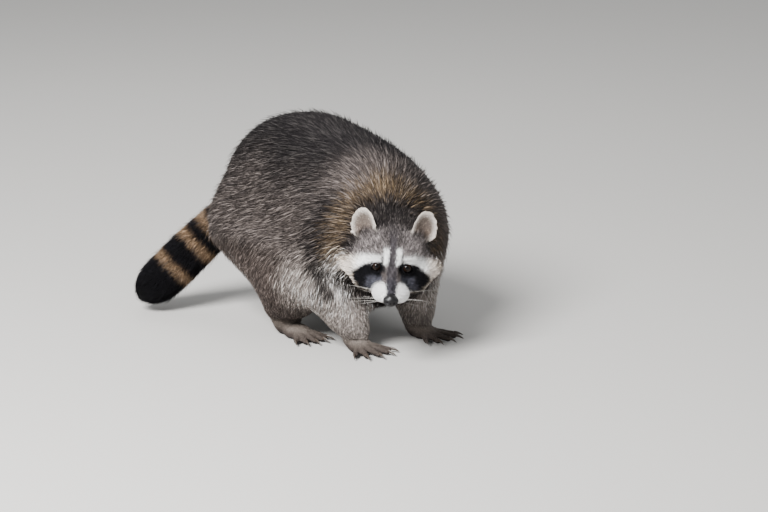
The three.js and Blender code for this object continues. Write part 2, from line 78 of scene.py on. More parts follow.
def srgb(red, green, blue):
    """The linear colour of three display values from 0 to 255."""
    shares = [value / 255 for value in (red, green, blue)]
    return tuple(s / 12.92 if s <= 0.04045 else ((s + 0.055) / 1.055) ** 2.4 for s in shares)


# ------------------------------------------------------------------ settings


def size_setting(name, description, default):
    return bpy.props.FloatProperty(
        name=name, description=description, default=default, min=0.0, unit="LENGTH", subtype="DISTANCE",
        precision=4,
    )


def share_setting(name, description, default):
    return bpy.props.FloatProperty(
        name=name, description=description, default=default, min=0.0, max=1.0, subtype="FACTOR",
    )


def count_setting(name, description, default):
    return bpy.props.IntProperty(name=name, description=description, default=default, min=1)


def angle_setting(name, description, default):
    return bpy.props.FloatProperty(
        name=name, description=description, default=math.radians(default), unit="ROTATION",
        subtype="ANGLE",
    )


def colour_setting(name, description, default):
    return bpy.props.FloatVectorProperty(
        name=name, description=description, default=srgb(*default), size=3, min=0.0, max=1.0,
        subtype="COLOR",
    )


class RaccoonHead(bpy.types.PropertyGroup):
    """How the head is turned, and the sizes of the eyes and lids."""

    turn: angle_setting("Turn", "Turn of the head to its own right", -42)
    dip: angle_setting("Dip", "How far the muzzle points down", 18)
    roll: angle_setting("Roll", "Lean of the head to one side", 4)
    eye_back: size_setting("Eye back", "From the head's origin back to the eye centres", 9.5 * MM)
    eye_drop: size_setting("Eye drop", "From the head's origin down to the eye centres", 4.2 * MM)
    gaze_up: angle_setting("Gaze up", "Rise of the eyes' look over the muzzle", 30)
    lid_out: angle_setting("Lid out", "Turn of each eye opening away from the muzzle", 7)
    lid_up: angle_setting("Lid up", "Rise of each eye opening over the muzzle", 14)
    lid_half_width: size_setting("Lid half width", "Half the width of the eye opening", 5.9 * MM)
    lid_half_height: size_setting("Lid half height", "Half the height of the eye opening", 4.9 * MM)
    lid_slant: angle_setting("Lid slant", "Rise of the outer corner of the eye", 9)
    mouth_drop: size_setting("Mouth drop", "From the head's origin down to the mouth line", 36 * MM)
    mouth_slope: angle_setting("Mouth slope", "Rise of the mouth line towards its corners", 3)


class RaccoonSkin(bpy.types.PropertyGroup):
    """The skin's mesh sizes and the depth of coat that stands on it."""

    voxel: size_setting("Voxel", "Cell of the first skin mesh", 2.1 * MM)
    kept: share_setting("Kept faces", "Share of the first skin mesh's faces that stay", 0.4)
    trunk_depth: size_setting("Trunk coat", "Depth of the coat on the trunk", 12 * MM)
    neck_depth: size_setting("Neck coat", "Depth of the ruff", 14 * MM)
    tail_depth: size_setting("Tail coat", "Depth of the coat on the tail", 9 * MM)
    thigh_depth: size_setting("Thigh coat", "Depth of the coat at the top of the legs", 9 * MM)
    wrist_depth: size_setting("Wrist coat", "Depth of the coat at wrist and heel", 3.2 * MM)
    foot_depth: size_setting("Foot coat", "Depth of the coat on the toes", 0.7 * MM)
    ear_depth: size_setting("Ear coat", "Depth of the coat on the ears", 0.8 * MM)
    face_depth: size_setting("Face coat", "Depth of the coat between and round the eyes", 2.2 * MM)
    muzzle_depth: size_setting("Muzzle coat", "Depth of the coat on the muzzle", 1.1 * MM)
    cheek_depth: size_setting("Cheek coat", "Extra depth of the coat on the cheeks", 7 * MM)


class RaccoonCoat(bpy.types.PropertyGroup):
    """How many locks each area has, and how they lie."""

    trunk_locks: count_setting("Trunk locks", "Locks on the trunk", 112000)
    neck_locks: count_setting("Neck locks", "Locks on the ruff", 30000)
    leg_locks: count_setting("Leg locks", "Locks on the legs", 26000)
    tail_locks: count_setting("Tail locks", "Locks on the tail", 22000)
    head_locks: count_setting("Head locks", "Locks on the head", 46000)
    ear_locks: count_setting("Ear locks", "Locks on the ears", 6000)
    foot_locks: count_setting("Foot locks", "Locks on the feet", 8000)
    tuft_size: count_setting("Tuft size", "Locks that draw together in one tuft", 4)
    clump: share_setting("Clumping", "How far tips draw together", 0.45)
    tail_length: share_setting("Tail length", "Length of the tail's locks beside others as deep", 0.78)
    tone: share_setting("Tone", "How far tufts differ in lightness", 0.22)
    stray: angle_setting("Stray", "Spread of the locks' directions", 11)


class RaccoonColours(bpy.types.PropertyGroup):
    """Colours of the coat and the bare parts."""

    white: colour_setting("White", "Brow bars and sides of the muzzle", (250, 249, 247))
    mask: colour_setting("Mask", "Black of the mask and tail rings", (11, 10, 13))
    mask_edge: colour_setting("Mask edge", "Blue-grey lower edge of the mask", (66, 66, 74))
    bridge: colour_setting("Bridge", "Blue-grey down the middle of the muzzle", (54, 52, 57))
    stripe: colour_setting("Stripe", "Dark line up the middle of the forehead", (64, 60, 63))
    bridge_side: colour_setting("Bridge side", "Brown-grey beside the muzzle's middle", (88, 80, 77))
    forehead: colour_setting("Forehead", "Grizzled grey of the forehead", (94, 88, 87))
    crown: colour_setting("Crown", "Dark brown-grey between the ears", (40, 36, 35))
    cheek: colour_setting("Cheek", "Buff ends of the cheeks", (212, 197, 181))
    jowl: colour_setting("Jowl", "Dark grey-brown under the mask", (38, 34, 31))
    ruff: colour_setting("Ruff", "Golden brown of the ruff", (86, 71, 52))
    # Inner ruff: partly dark fur, partly painted shade under the cheeks and in the gap behind the ears.
    inner_ruff_and_shade: colour_setting("Inner ruff", "Dark grey-brown beside and under the cheeks", (22, 19, 18))
    flank: colour_setting("Flank", "Grey-brown of the flanks", (76, 69, 66))
    back: colour_setting("Back", "Charcoal of the back", (14, 13, 15))
    belly: colour_setting("Belly", "Paler brown under the body", (88, 79, 72))
    haunch: colour_setting("Haunch", "Grey-brown of rump and thigh", (70, 62, 58))
    tail_gold: colour_setting("Tail gold", "Golden brown rings of the tail", (106, 86, 66))
    foreleg: colour_setting("Foreleg", "Pale grey of the forelegs", (152, 143, 137))
    hindleg: colour_setting("Hind leg", "Brown-grey of the hind legs", (76, 67, 63))
    foot: colour_setting("Foot", "Grey of the feet", (90, 82, 76))
    toe: colour_setting("Toe", "Dark toes", (60, 53, 49))
    pad: colour_setting("Pad", "Bare skin under the feet", (38, 34, 34))
    ear: colour_setting("Ear", "Cream rims of the ears", (222, 213, 203))
    # Inner ear: partly the skin's own grey-brown, partly painted shade in the hollow.
    ear_bowl_and_shade: colour_setting("Inner ear", "Grey-brown middle of the ears", (80, 67, 60))
    # Painted shade, brown, deep and low in the ear's bowl.
    ear_hollow_shade: colour_setting("Ear root", "Brown depth of the ears", (84, 66, 54))
    pale_hair: colour_setting("Pale hair", "Pale tips of the grizzled fur", (212, 204, 196))
    dark_hair: colour_setting("Dark hair", "Dark tips of the grizzled fur", (32, 29, 30))
    iris: colour_setting("Iris", "Dark brown of the eyes", (24, 14, 9))
    eye_rim: colour_setting("Eye rim", "Dark of the eyeball round the iris", (16, 12, 11))
    pupil: colour_setting("Pupil", "Black of the pupil", (5, 4, 4))
    # Lid: a painted highlight, the light caught on the lower outer edge of each lid.
    lid: colour_setting("Lid", "Pale wet edge of the lids", (196, 192, 194))
    nose: colour_setting("Nose", "Black of the nose pad", (10, 9, 10))
    pale_whisker: colour_setting("Pale whisker", "Most of the whiskers", (228, 224, 218))
    dark_whisker: colour_setting("Dark whisker", "The other whiskers", (40, 36, 36))
    claw: colour_setting("Claw", "Dark horn of the claws", (50, 42, 36))
    floor: colour_setting("Floor", "Plain floor", (158, 156, 153))


# ------------------------------------------------------------------ small helpers


def select_only(piece):
    bpy.ops.object.select_all(action="DESELECT")
    piece.select_set(True)
    bpy.context.view_layer.objects.active = piece


def shade_smooth(piece):
    select_only(piece)
    bpy.ops.object.shade_smooth()


def new_piece(name, mesh):
    """Puts a mesh that is already in its place into the scene."""
    piece = bpy.data.objects.new(name, mesh)
    bpy.context.scene.collection.objects.link(piece)
    return piece


def apply_modifier(piece, kind, **settings):
    """Adds a modifier with these settings and applies it at once."""
    select_only(piece)
    modifier = piece.modifiers.new(kind.title(), kind)
    for name, value in settings.items():
        setattr(modifier, name, value)
    bpy.ops.object.modifier_apply(modifier=modifier.name)


def keep(piece, name, slot, *nodes):
    """Names a finished piece, ties it to the body and hides the solids that it stands for; its slot is not
    used.
    """
    piece.name = name
    piece.data.name = name
    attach(piece, "root")
    if nodes:
        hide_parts(*nodes)


def step(value, low, high):
    """0 below low and 1 above high, smooth between. Turned round when low is above high."""
    share = np.clip((value - low) / (high - low), 0.0, 1.0)
    return share * share * (3 - 2 * share)


def mix(first, second, share):
    """From first to second by a share per row."""
    return first + (second - first) * np.asarray(share)[..., None]


def unit(vectors):
    return vectors / np.maximum(np.linalg.norm(vectors, axis=-1, keepdims=True), 1e-9)


def ripple(points, wavelength, seed):
    """A smooth random value from about -1 to 1 that changes over one wavelength."""
    waves = 7
    chance = np.random.default_rng(seed)
    total = np.zeros(len(points))
    for _ in range(waves):
        heading = unit(chance.normal(size=3))
        stretch = chance.uniform(0.7, 1.5)
        start = chance.uniform(0, math.tau)
        total += np.sin(points @ heading * (math.tau * stretch / wavelength) + start)
    return total / math.sqrt(waves)


def ridge(value, middle, half_width):
    """1 where a value is at the middle of a ridge, falling away smoothly on both sides."""
    return np.exp(-((value - middle) / half_width) ** 2)


def mesh_values(items, name, kind, columns):
    """One row of numbers for each of a mesh's items."""
    flat = np.empty(len(items) * columns, kind)
    items.foreach_get(name, flat)
    return flat.reshape(-1, columns)


def vertex_places(mesh):
    return mesh_values(mesh.vertices, "co", np.float32, 3).astype(float)


def place_vertices(mesh, places):
    mesh.vertices.foreach_set("co", places.astype(np.float32).ravel())
    mesh.update()


def vertex_normals(mesh):
    return mesh_values(mesh.vertex_normals, "vector", np.float32, 3).astype(float)


def edge_ends(mesh):
    return mesh_values(mesh.edges, "vertices", np.int32, 2)


def relax(values, ends, share, rounds):
    """Moves each vertex's values towards its neighbours' mean, by its own share, in rounds."""
    count = np.maximum(np.bincount(ends.ravel(), minlength=len(values)), 1)[:, None]
    share = np.broadcast_to(np.asarray(share, float), (len(values),))[:, None]
    values = values.copy()
    first, second = ends.T
    for _ in range(rounds):
        total = np.empty_like(values)
        for column in range(values.shape[1]):
            total[:, column] = np.bincount(first, values[second, column], len(values))
            total[:, column] += np.bincount(second, values[first, column], len(values))
        values += share * (total / count - values)
    return values


# ------------------------------------------------------------------ the head's own frame


# Half the nose pad's width, length and height, in millimetres.
NOSE_HALF = np.array([11.0, 8.7, 9.0])


def node_centre(node):
    low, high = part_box(node)
    return (low + high) / 2


def head_axes():
    """The head's turn as a matrix: X to its left, Y to its back, Z up."""
    head = bpy.context.scene.raccoon_head
    turn = Matrix.Rotation(head.turn, 3, "Z")
    dip = Matrix.Rotation(head.dip, 3, "X")
    roll = Matrix.Rotation(head.roll, 3, "Y")
    return np.array(turn @ dip @ roll)


def head_origin():
    """The point midway between the eyes, on the brow."""
    head = bpy.context.scene.raccoon_head
    middle = (node_centre("eye_right") + node_centre("eye_left")) / 2
    return np.array(middle) - head_axes() @ np.array([0, head.eye_back, -head.eye_drop])


def in_head(places):
    """World places as millimetres in the head's frame."""
    return (places - head_origin()) @ head_axes() / MM


def from_head(places):
    return head_origin() + (places * MM) @ head_axes().T


def eye_frame(side):
    """One eye's centre and radius in the head's frame, and the axes of its opening: out, up and ahead."""
    head = bpy.context.scene.raccoon_head
    low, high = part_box("eye_right" if side < 0 else "eye_left")
    radius = (high - low).z / 2 / MM
    centre = in_head(np.array((low + high) / 2)[None])[0]
    level = math.cos(head.lid_up)
    ahead = np.array([
        math.sin(head.lid_out) * level * side, -math.cos(head.lid_out) * level, math.sin(head.lid_up),
    ])
    out = unit(np.cross([0, 0, side], ahead))
    rise = np.cross(ahead, out) * side
    slant = head.lid_slant
    slanted = out * math.cos(slant) + rise * math.sin(slant)
    rise = rise * math.cos(slant) - out * math.sin(slant)
    return centre, radius, np.array([slanted, rise, ahead])


def eye_ring(points, side):
    """How far points lie out, up and ahead of an eye's centre, and a ring of 1 on its opening's edge."""
    head = bpy.context.scene.raccoon_head
    centre, _, axes = eye_frame(side)
    along, over, ahead = axes @ (points - centre).T
    ring = np.hypot(along / (head.lid_half_width / MM), over / (head.lid_half_height / MM))
    return along, over, ahead, ring


def eye_gap(points):
    """Distance from each point to the nearer eyeball, in millimetres."""
    gaps = []
    for side in SIDES.values():
        centre, radius, _ = eye_frame(side)
        gaps.append(np.linalg.norm(points - centre, axis=1) - radius)
    return np.minimum(*gaps)


def nose_centre():
    return in_head(np.array(node_centre("nose"))[None])[0]


def nose_gap(points):
    """Rough distance from each point to the nose pad, in millimetres."""
    return np.linalg.norm(points - nose_centre(), axis=1) - NOSE_HALF.mean()


def nose_ring(points):
    """0 at the middle of the nose pad and 1 on its surface."""
    return np.linalg.norm((points - nose_centre()) / NOSE_HALF, axis=1)


def nose_bare(points):
    """1 at the front and top of the nose, where the pad is bare, and 0 where fur covers its back."""
    _, y, z = (points - nose_centre()).T
    return step(y - 0.75 * z, 5, 2)


# ------------------------------------------------------------------ the areas of the body


# The slope of the face from the brow down to the muzzle.
FACE_SLOPE = math.radians(32)

# Areas of the skin and the coat. Each has its greatest share and then the measures that bound it, each
# with the value where the area begins and the value where it is full. Lengths are in millimetres. Of the
# head: out from its middle line, back from the brow, up over the brow and level up the sloping face. Of the
# body: height over the floor and rear along Y. Rise is 1 on skin that faces up, and ahead is 1 on skin that
# faces forwards. Wavy measures waver a little, so that an edge does.
AREAS = {
    # Where the coat is deeper or shorter.
    "short_muzzle": (1, ("back", 4, -8)),
    "deep_cheek": (1, ("out", 40, 64), ("back", -4, 22)),
    "deep_nape": (0.6, ("back", 26, 56)),
    "deep_throat": (0.8, ("up", -30, -50), ("back", 2, 26)),
    "off_eyes": (0.75, ("eye_gap", 1.5, 11)),
    "off_nose": (0.85, ("nose_gap", 0, 8)),
    "thigh": (1, ("height", 30, 110)),
    "over_sole": (1, ("height", 2, 8)),
    "long_cheek": (1.25, ("out", 38, 54), ("level", 14, -6), ("level", -54, -38), ("back", -8, 4),
                   ("back", 62, 44)),
    # The head's markings.
    "crown": (1, ("back", 30, 56)),
    "crown_front": (0.6, ("out", 20, 4), ("level", 22, 40)),
    "jowl": (1, ("wavy_level", -14, -26)),
    "cheek": (1, ("out", 44, 55), ("level", -38, -24), ("level", 20, 6), ("back", 70, 48)),
    "brow_start": (1, ("out", 14.4, 16.2)),
    "brow_back": (0.85, ("back", 40, 58)),
    "brow_inner": (1, ("out", 60, 46)),
    "brow_buff": (0.75, ("out", 43, 60)),
    "brow_lift": (1, ("out", 4.4, 6), ("out", 13.6, 11.8), ("wavy_level", 2, 6), ("wavy_level", 30, 22)),
    "brow_line": (0.85, ("out", 12, 13.2), ("out", 16.2, 14.8), ("level", 22, 14), ("level", 0, 3)),
    "mask": (1, ("out", 58, 54), ("out", 7.5, 10.5), ("back", 60, 40)),
    "mask_edge": (1, ("wavy_level", -9, -15), ("wavy_out", 40, 30)),
    "stripe": (1, ("level", 64, 30)),
    "bridge": (1, ("level", -8, -20)),
    "bridge_side": (0.8, ("out", 6.5, 8), ("out", 14, 11.5), ("level", -29, -23), ("level", -4, -9)),
    "muzzle": (1, ("back", 8, -4), ("out", 5.5, 8.5)),
    "chin": (1, ("over_lip", -0.5, -3), ("back", 6, -10)),
    # Under the lower lip: dark throat fur with painted shade under the jaw.
    "throat": (0.7, ("over_lip", -2, -14), ("back", -8, 6)),
    "nose_rim": (0.85, ("nose_gap", 1.8, 0.6)),
    # The ears' markings, with their own ring and height.
    # The bowl and its low part carry painted shade in the ear's hollow.
    "ear_bowl": (1, ("ear_ring", 0.98, 0.5), ("ahead", -0.1, 0.3)),
    "ear_hollow_shade": (1, ("ear_height", 22, 5)),
    "ear_back": (0.9, ("ahead", 0.2, -0.3), ("ear_height", 26, 4)),
    # The ruff: rings round the middle of the face.
    "ruff_low": (16, ("level", 4, -22)),
    "collar": (0.9, ("high_ring", 64, 74), ("ring", 101, 90), ("back", 155, 120)),
    "collar_gold": (1, ("level", -12, 14)),
    # Partly dark fur, partly painted shade under the cheeks and behind the ears.
    "inner_ruff_and_shade": (0.9, ("high_ring", 74, 62), ("back", 155, 120)),
    "inner_ruff_top": (1, ("level", 20, 50)),
    # Painted shade in the fold between shoulder and flank.
    "groove_shade": (0.9, ("ring", 94, 102), ("ring", 127, 116), ("back", 190, 150), ("level", 112, 80)),
    # The body's, the legs' and the feet's markings.
    "back": (1, ("rise", -0.1, 0.8), ("wavy_height", 140, 270)),
    "belly": (0.7, ("rise", -0.25, -0.8)),
    "rump": (0.8, ("rear", 120, 205), ("wavy_height", 250, 150)),
    "foreleg": (1, ("rear", -30, -62)),
    "haunch": (0.6, ("height", 80, 130)),
    "wrist": (0.5, ("height", 50, 28)),
    "leg_top": (1, ("height", 55, 80)),
    "foot_top": (1, ("height", 7, 15)),
    "foot_pad": (1, ("height", 4.2, 2.6)),
    # The tail's markings, by the distance from its tip and out from its line.
    "grey_rings": (0.6, ("wavy_tip", 140, 180)),
    "tail_on_rump": (0.9, ("off_tail", 52, 38), ("from_tip", 206, 190)),
    "tail_root": (1, ("wavy_tip", 197, 208)),
}


def area(name, **measures):
    """How far each point lies in one of the areas."""
    share, *edges = AREAS[name]
    for measure, begins, full in edges:
        share = share * step(measures[measure], begins, full)
    return share


def face_level(points, furthest_back=42):
    """Height up the sloping face of points in the head's frame, in millimetres."""
    _, y, z = points.T
    return z * math.cos(FACE_SLOPE) + np.minimum(y, furthest_back) * math.sin(FACE_SLOPE)


def head_measures(points):
    """The measures that bound the areas of the head."""
    x, y, z = points.T
    head = bpy.context.scene.raccoon_head
    return {
        "out": np.abs(x), "back": y, "up": z, "level": face_level(points),
        "over_lip": z + head.mouth_drop / MM, "eye_gap": eye_gap(points), "nose_gap": nose_gap(points),
    }


# ------------------------------------------------------------------ the ears' own frame

# An ear's base in the head's frame, its half width and half height, and the height of its middle.
EAR_BASE = np.array([40.0, 42.0, 25.0])
EAR_HALF_WIDTH = 19.5
EAR_HALF_HEIGHT = 29.0
EAR_MIDDLE = 14.0
EAR_HOLLOW = 2.2
# Turns of an ear outwards, to the side and back, in degrees.
EAR_TURN, EAR_LEAN, EAR_TILT = 18, 9, 8


def ear_place(points, side):
    """Points of the head's frame in one ear's frame, with that frame's turn and base."""
    turn = Matrix.Rotation(math.radians(EAR_TURN * side), 3, "Z")
    turn = turn @ Matrix.Rotation(math.radians(EAR_LEAN * side), 3, "Y")
    turn = np.array(turn @ Matrix.Rotation(math.radians(-EAR_TILT), 3, "X"))
    base = EAR_BASE * np.array([side, 1, 1])
    return (points - base) @ turn, turn, base


def ear_ring(local):
    """0 in the middle of the ear's bowl and 1 on its outline."""
    return np.hypot(local[:, 0] / EAR_HALF_WIDTH, (local[:, 2] - EAR_MIDDLE) / EAR_HALF_HEIGHT)


# ------------------------------------------------------------------ the skin


# Skin lower than this over the floor is bare.
SOLE_HEIGHT = 3.5 * MM


class Flesh:
    """The finished skin and what is known at each of its vertices."""

    skin = None


def joined_solids():
    """One mesh of the flesh solids and the nose, and the part that each of its faces belongs to."""
    joined = bmesh.new()
    labels = []
    solids = [(label, node) for label, nodes in enumerate(FLESH.values()) for node in nodes]
    solids.append((PART_NAMES.index("head"), "nose"))
    for label, node in solids:
        joined.from_mesh(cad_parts[node].data)
        labels += [label] * (len(joined.faces) - len(labels))
    bmesh.ops.triangulate(joined, faces=joined.faces[:])
    mesh = bpy.data.meshes.new("skin")
    joined.to_mesh(mesh)
    joined.free()
    return mesh, np.array(labels)


def nearest_faces(tree, places):
    """The nearest face to each place, and the point on it."""
    faces = np.empty(len(places), int)
    points = np.empty((len(places), 3))
    for index, place in enumerate(places.tolist()):
        point, _, face, _ = tree.find_nearest(place)
        faces[index] = face
        points[index] = point
    return faces, points


def tree_of(mesh):
    triangles = mesh_values(mesh.loop_triangles, "vertices", np.int32, 3)
    return BVHTree.FromPolygons(vertex_places(mesh).tolist(), triangles.tolist()), triangles


def part_weights(places, ends, solid_tree, labels, rounds):
    """How much each vertex belongs to each part, with wide soft borders and narrow ones round the ears."""
    pull = 0.6
    narrow_rounds = 6
    faces, _ = nearest_faces(solid_tree, places)
    weights = np.zeros((len(places), len(PART_NAMES)))
    weights[np.arange(len(places)), labels[faces]] = 1.0
    narrow = relax(weights, ends, pull, narrow_rounds)
    wide = relax(narrow, ends, pull, rounds)
    ear = PART_NAMES.index("ear")
    wide[:, ear] = 0
    wide *= ((1 - narrow[:, ear]) / np.maximum(wide.sum(1), 1e-6))[:, None]
    wide[:, ear] = narrow[:, ear]
    return narrow, wide


def coat_depth(places, weights):
    """Depth of the coat at each place, in metres."""
    skin = bpy.context.scene.raccoon_skin
    at = head_measures(in_head(places))
    head = skin.face_depth + (skin.muzzle_depth - skin.face_depth) * area("short_muzzle", **at)
    for deeper in ("deep_cheek", "deep_nape", "deep_throat"):
        head = head + skin.cheek_depth * area(deeper, **at)
    for away in ("off_eyes", "off_nose"):
        head = head * (1 - AREAS[away][0] + area(away, **at))
    height = places[:, 2] / MM
    leg = skin.wrist_depth + (skin.thigh_depth - skin.wrist_depth) * area("thigh", height=height)
    foot = skin.foot_depth * area("over_sole", height=height)
    depths = {
        "head": head, "ear": skin.ear_depth, "neck": skin.neck_depth, "trunk": skin.trunk_depth,
        "tail": skin.tail_depth, "leg": leg, "foot": foot,
    }
    return sum(weights[:, index] * depths[part] for index, part in enumerate(PART_NAMES))


# The lid, in millimetres: how far it reaches round the eye, how far its edge stands off the eyeball, and
# how it falls away from there. Then the creases of the upper and the lower lid: depth, distance from the
# edge, half width, and the heights where the crease begins and is full.
LID_REACH = 12
LID_STAND = 0.75
LID_FALL = (0.28, 0.035)
LID_CREASES = ((0.6, 3.0, 0.8, (-1, 2)), (0.4, 2.6, 0.7, (0, -2)))
POCKET_DEPTH = 2.0


def shape_lids(points, side):
    """Opens the skin over one eye, with a pocket behind the eyeball and a lid round its front."""
    centre, radius, axes = eye_frame(side)
    along, over, ahead, ring = eye_ring(points, side)
    reach = np.hypot(along, over)
    rim = reach / np.maximum(ring, 1e-6)
    near = (ahead > 0) & (reach < rim + LID_REACH)
    cover = np.sqrt(np.maximum(radius ** 2 - reach ** 2, 0.0))
    edge = np.sqrt(np.maximum(radius ** 2 - rim ** 2, 0.0))
    beyond = np.maximum(reach - rim, 0.0)
    lid = edge + LID_STAND - LID_FALL[0] * beyond - LID_FALL[1] * beyond ** 2
    for depth, middle, half_width, heights in LID_CREASES:
        lid = lid - depth * ridge(beyond, middle, half_width) * step(over, *heights)
    blend = step(beyond, LID_REACH - 1, 1.5)
    pocket = np.minimum(cover, edge) - POCKET_DEPTH
    shaped = np.where(ring < 0.93, pocket, ahead + (lid - ahead) * blend)
    pull = np.where((ring > 0.8) & (ring < 1.08), 1 / np.maximum(ring, 1e-6), 1.0)
    moved = centre + np.stack([along * pull, over * pull, shaped], axis=1) @ axes
    return np.where(near[:, None], moved, points)


# Depth and half width of the mouth line and of the groove under the nose, in millimetres.
MOUTH_LINE = (1.5, 0.9)
LIP_GROOVE = (0.9, 0.8)


def shape_mouth(points, normals):
    """Presses the mouth line and the groove under the nose into the muzzle."""
    head = bpy.context.scene.raccoon_head
    x, y, z = points.T
    line = -head.mouth_drop / MM + math.tan(head.mouth_slope) * y
    mouth = MOUTH_LINE[0] * ridge(z, line, MOUTH_LINE[1]) * step(y, 4, -4)
    lip = LIP_GROOVE[0] * ridge(x, 0, LIP_GROOVE[1]) * step(y, -30, -36)
    lip = lip * step(z, line - 1, line) * step(z, -27, -31)
    return points - normals * (mouth + lip)[:, None]


def shape_nose_seat(points):
    """Draws the skin in under the bare nose pad and lays it close round the pad's back."""
    sunk, close = 0.82, 1.04
    centre = nose_centre()
    ring = np.maximum(nose_ring(points), 1e-6)
    bare = nose_bare(points)
    seat = np.maximum(ring, close) * (1 - bare) + np.minimum(ring, sunk) * bare
    scale = 1 + (seat / ring - 1) * step(ring, 1.3, 1.1)
    return centre + (points - centre) * scale[:, None]


def shape_ears(points):
    """Hollows the ears and their backs together, so that the bowl is deep and the edge stays thin."""
    bowl_edge, reach = 0.9, 16
    for side in SIDES.values():
        local, turn, base = ear_place(points, side)
        ring = ear_ring(local)
        hollow = EAR_HOLLOW * np.maximum(1 - (ring / bowl_edge) ** 2, 0) * step(local[:, 2], -6, 6)
        inside = (np.abs(local[:, 1]) < reach) & (ring < bowl_edge)
        moved = local.copy()
        moved[:, 1] += hollow
        points = np.where(inside[:, None], moved @ turn.T + base, points)
    return points


def refine(piece, is_inside):
    """Cuts the faces whose centres a test picks into four."""
    mesh = bmesh.new()
    mesh.from_mesh(piece.data)
    centres = np.array([face.calc_center_median() for face in mesh.faces])
    picked = is_inside(centres)
    edges = {edge for face, inside in zip(mesh.faces, picked) if inside for edge in face.edges}
    bmesh.ops.subdivide_edges(mesh, edges=list(edges), cuts=1, use_grid_fill=True, smooth=0.0)
    bmesh.ops.triangulate(mesh, faces=[face for face in mesh.faces if len(face.verts) > 4])
    mesh.to_mesh(piece.data)
    mesh.free()


def near_face(centres):
    x, y, z = in_head(centres).T
    return (np.abs(x) < 36) & (y < 16) & (z > -56) & (z < 22)


def near_eyes(centres):
    reach = 7
    return eye_gap(in_head(centres)) < reach


# Rounds of smoothing: of the trunk's and the tail's form, of the head's, of all, and of the normals.
TRUNK_ROUNDS, HEAD_ROUNDS, ALL_ROUNDS, NORMAL_ROUNDS = 80, 12, 2, 10
# Rounds that soften the borders of the body's parts, for the skin's form and for the coat.
FORM_BORDER, COAT_BORDER = 55, 26


def make_skin():
    """One closed skin inside the solids, by the coat's depth, with lids, mouth and cupped ears."""
    settings = bpy.context.scene.raccoon_skin
    mesh, labels = joined_solids()
    solid_tree = BVHTree.FromPolygons(
        vertex_places(mesh).tolist(), [tuple(face.vertices) for face in mesh.polygons]
    )
    skin = new_piece("skin", mesh)
    apply_modifier(skin, "REMESH", mode="VOXEL", voxel_size=settings.voxel, use_smooth_shade=True)
    places, ends = vertex_places(skin.data), edge_ends(skin.data)
    narrow, wide = part_weights(places, ends, solid_tree, labels, FORM_BORDER)
    of = {part: narrow[:, index] for index, part in enumerate(PART_NAMES)}
    sink_under_coat(skin, places, ends, of, wide)

    group = skin.vertex_groups.new(name="coarse")
    group.add(np.flatnonzero(of["ear"] < 0.02).tolist(), 1.0, "REPLACE")
    apply_modifier(
        skin, "DECIMATE", ratio=settings.kept, vertex_group="coarse", vertex_group_factor=1.0,
    )
    refine(skin, near_face)
    refine(skin, near_eyes)
    shape_head(skin)

    Flesh.skin = skin
    survey_skin(solid_tree, labels)
    paint_skin(skin)
    keep(skin, "skin", "body_coat", *[node for nodes in FLESH.values() for node in nodes])


def sink_under_coat(skin, places, ends, of, weights):
    """Smooths the first skin and draws it in by the coat's depth, with the soles left on the floor."""
    pull = 0.5
    broad = of["trunk"] + of["neck"] + of["tail"] + 0.7 * of["leg"]
    ground = places[:, 2].copy()
    places = relax(places, ends, pull * np.clip(broad, 0, 1), TRUNK_ROUNDS)
    places = relax(places, ends, pull * np.clip(of["head"] + broad, 0, 1), HEAD_ROUNDS)
    places = relax(places, ends, pull, ALL_ROUNDS)
    place_vertices(skin.data, places)
    normals = unit(relax(vertex_normals(skin.data), ends, 0.6 * (1 - 0.8 * of["foot"]), NORMAL_ROUNDS))
    places = places - normals * coat_depth(places, weights)[:, None]
    places = relax(places, ends, pull * np.clip(broad, 0, 1), HEAD_ROUNDS)
    sole = (of["foot"] > 0.5) & (ground < 2 * MM)
    places[sole, 2] = np.minimum(places[sole, 2], np.maximum(ground[sole], 0.0))
    places[:, 2] = np.maximum(places[:, 2], 0.0)
    place_vertices(skin.data, places)


def shape_head(skin):
    """Shapes the nose's seat, the mouth, the lids and the ears."""
    points = in_head(vertex_places(skin.data))
    normals = vertex_normals(skin.data) @ head_axes()
    x, y, z = points.T
    is_face = (y < 30) & (np.abs(x) < 50) & (z > -60) & (z < 30)
    shaped = shape_nose_seat(shape_mouth(points, normals))
    for side in SIDES.values():
        shaped = shape_lids(shaped, side)
    points[is_face] = shaped[is_face]
    place_vertices(skin.data, from_head(shape_ears(points)))


def survey_skin(solid_tree, labels):
    """Notes the places, normals, parts, coat depth and lie of the coat at the skin's vertices."""
    mesh = Flesh.skin.data
    Flesh.places = vertex_places(mesh)
    ends = edge_ends(mesh)
    Flesh.normals = unit(relax(vertex_normals(mesh), ends, 0.6, 4))
    Flesh.part, Flesh.weights = part_weights(Flesh.places, ends, solid_tree, labels, COAT_BORDER)
    Flesh.depth = coat_depth(Flesh.places, Flesh.weights)
    Flesh.bare = bare_skin()
    mesh.calc_loop_triangles()
    Flesh.tree, Flesh.triangles = tree_of(mesh)
    Flesh.flow = coat_flow(ends)


def bare_skin():
    """Where no hair grows: in the eye openings, under the nose pad and under the feet."""
    points = in_head(Flesh.places)
    bare = Flesh.places[:, 2] < SOLE_HEIGHT
    bare |= (nose_ring(points) < 0.97) & (nose_bare(points) > 0.3)
    for side in SIDES.values():
        _, _, ahead, ring = eye_ring(points, side)
        bare |= (ahead > 0) & (ring < 1.22)
    return bare


# ------------------------------------------------------------------ the lie of the coat


# The middle of the tail from the rump to its tip, in metres.
TAIL_LINE = MM * np.array([
    (12, 132, 168), (-29, 170, 137), (-52, 186, 113), (-72, 199, 90), (-106, 221, 51), (-123, 229, 36),
    (-145, 239, 17),
])


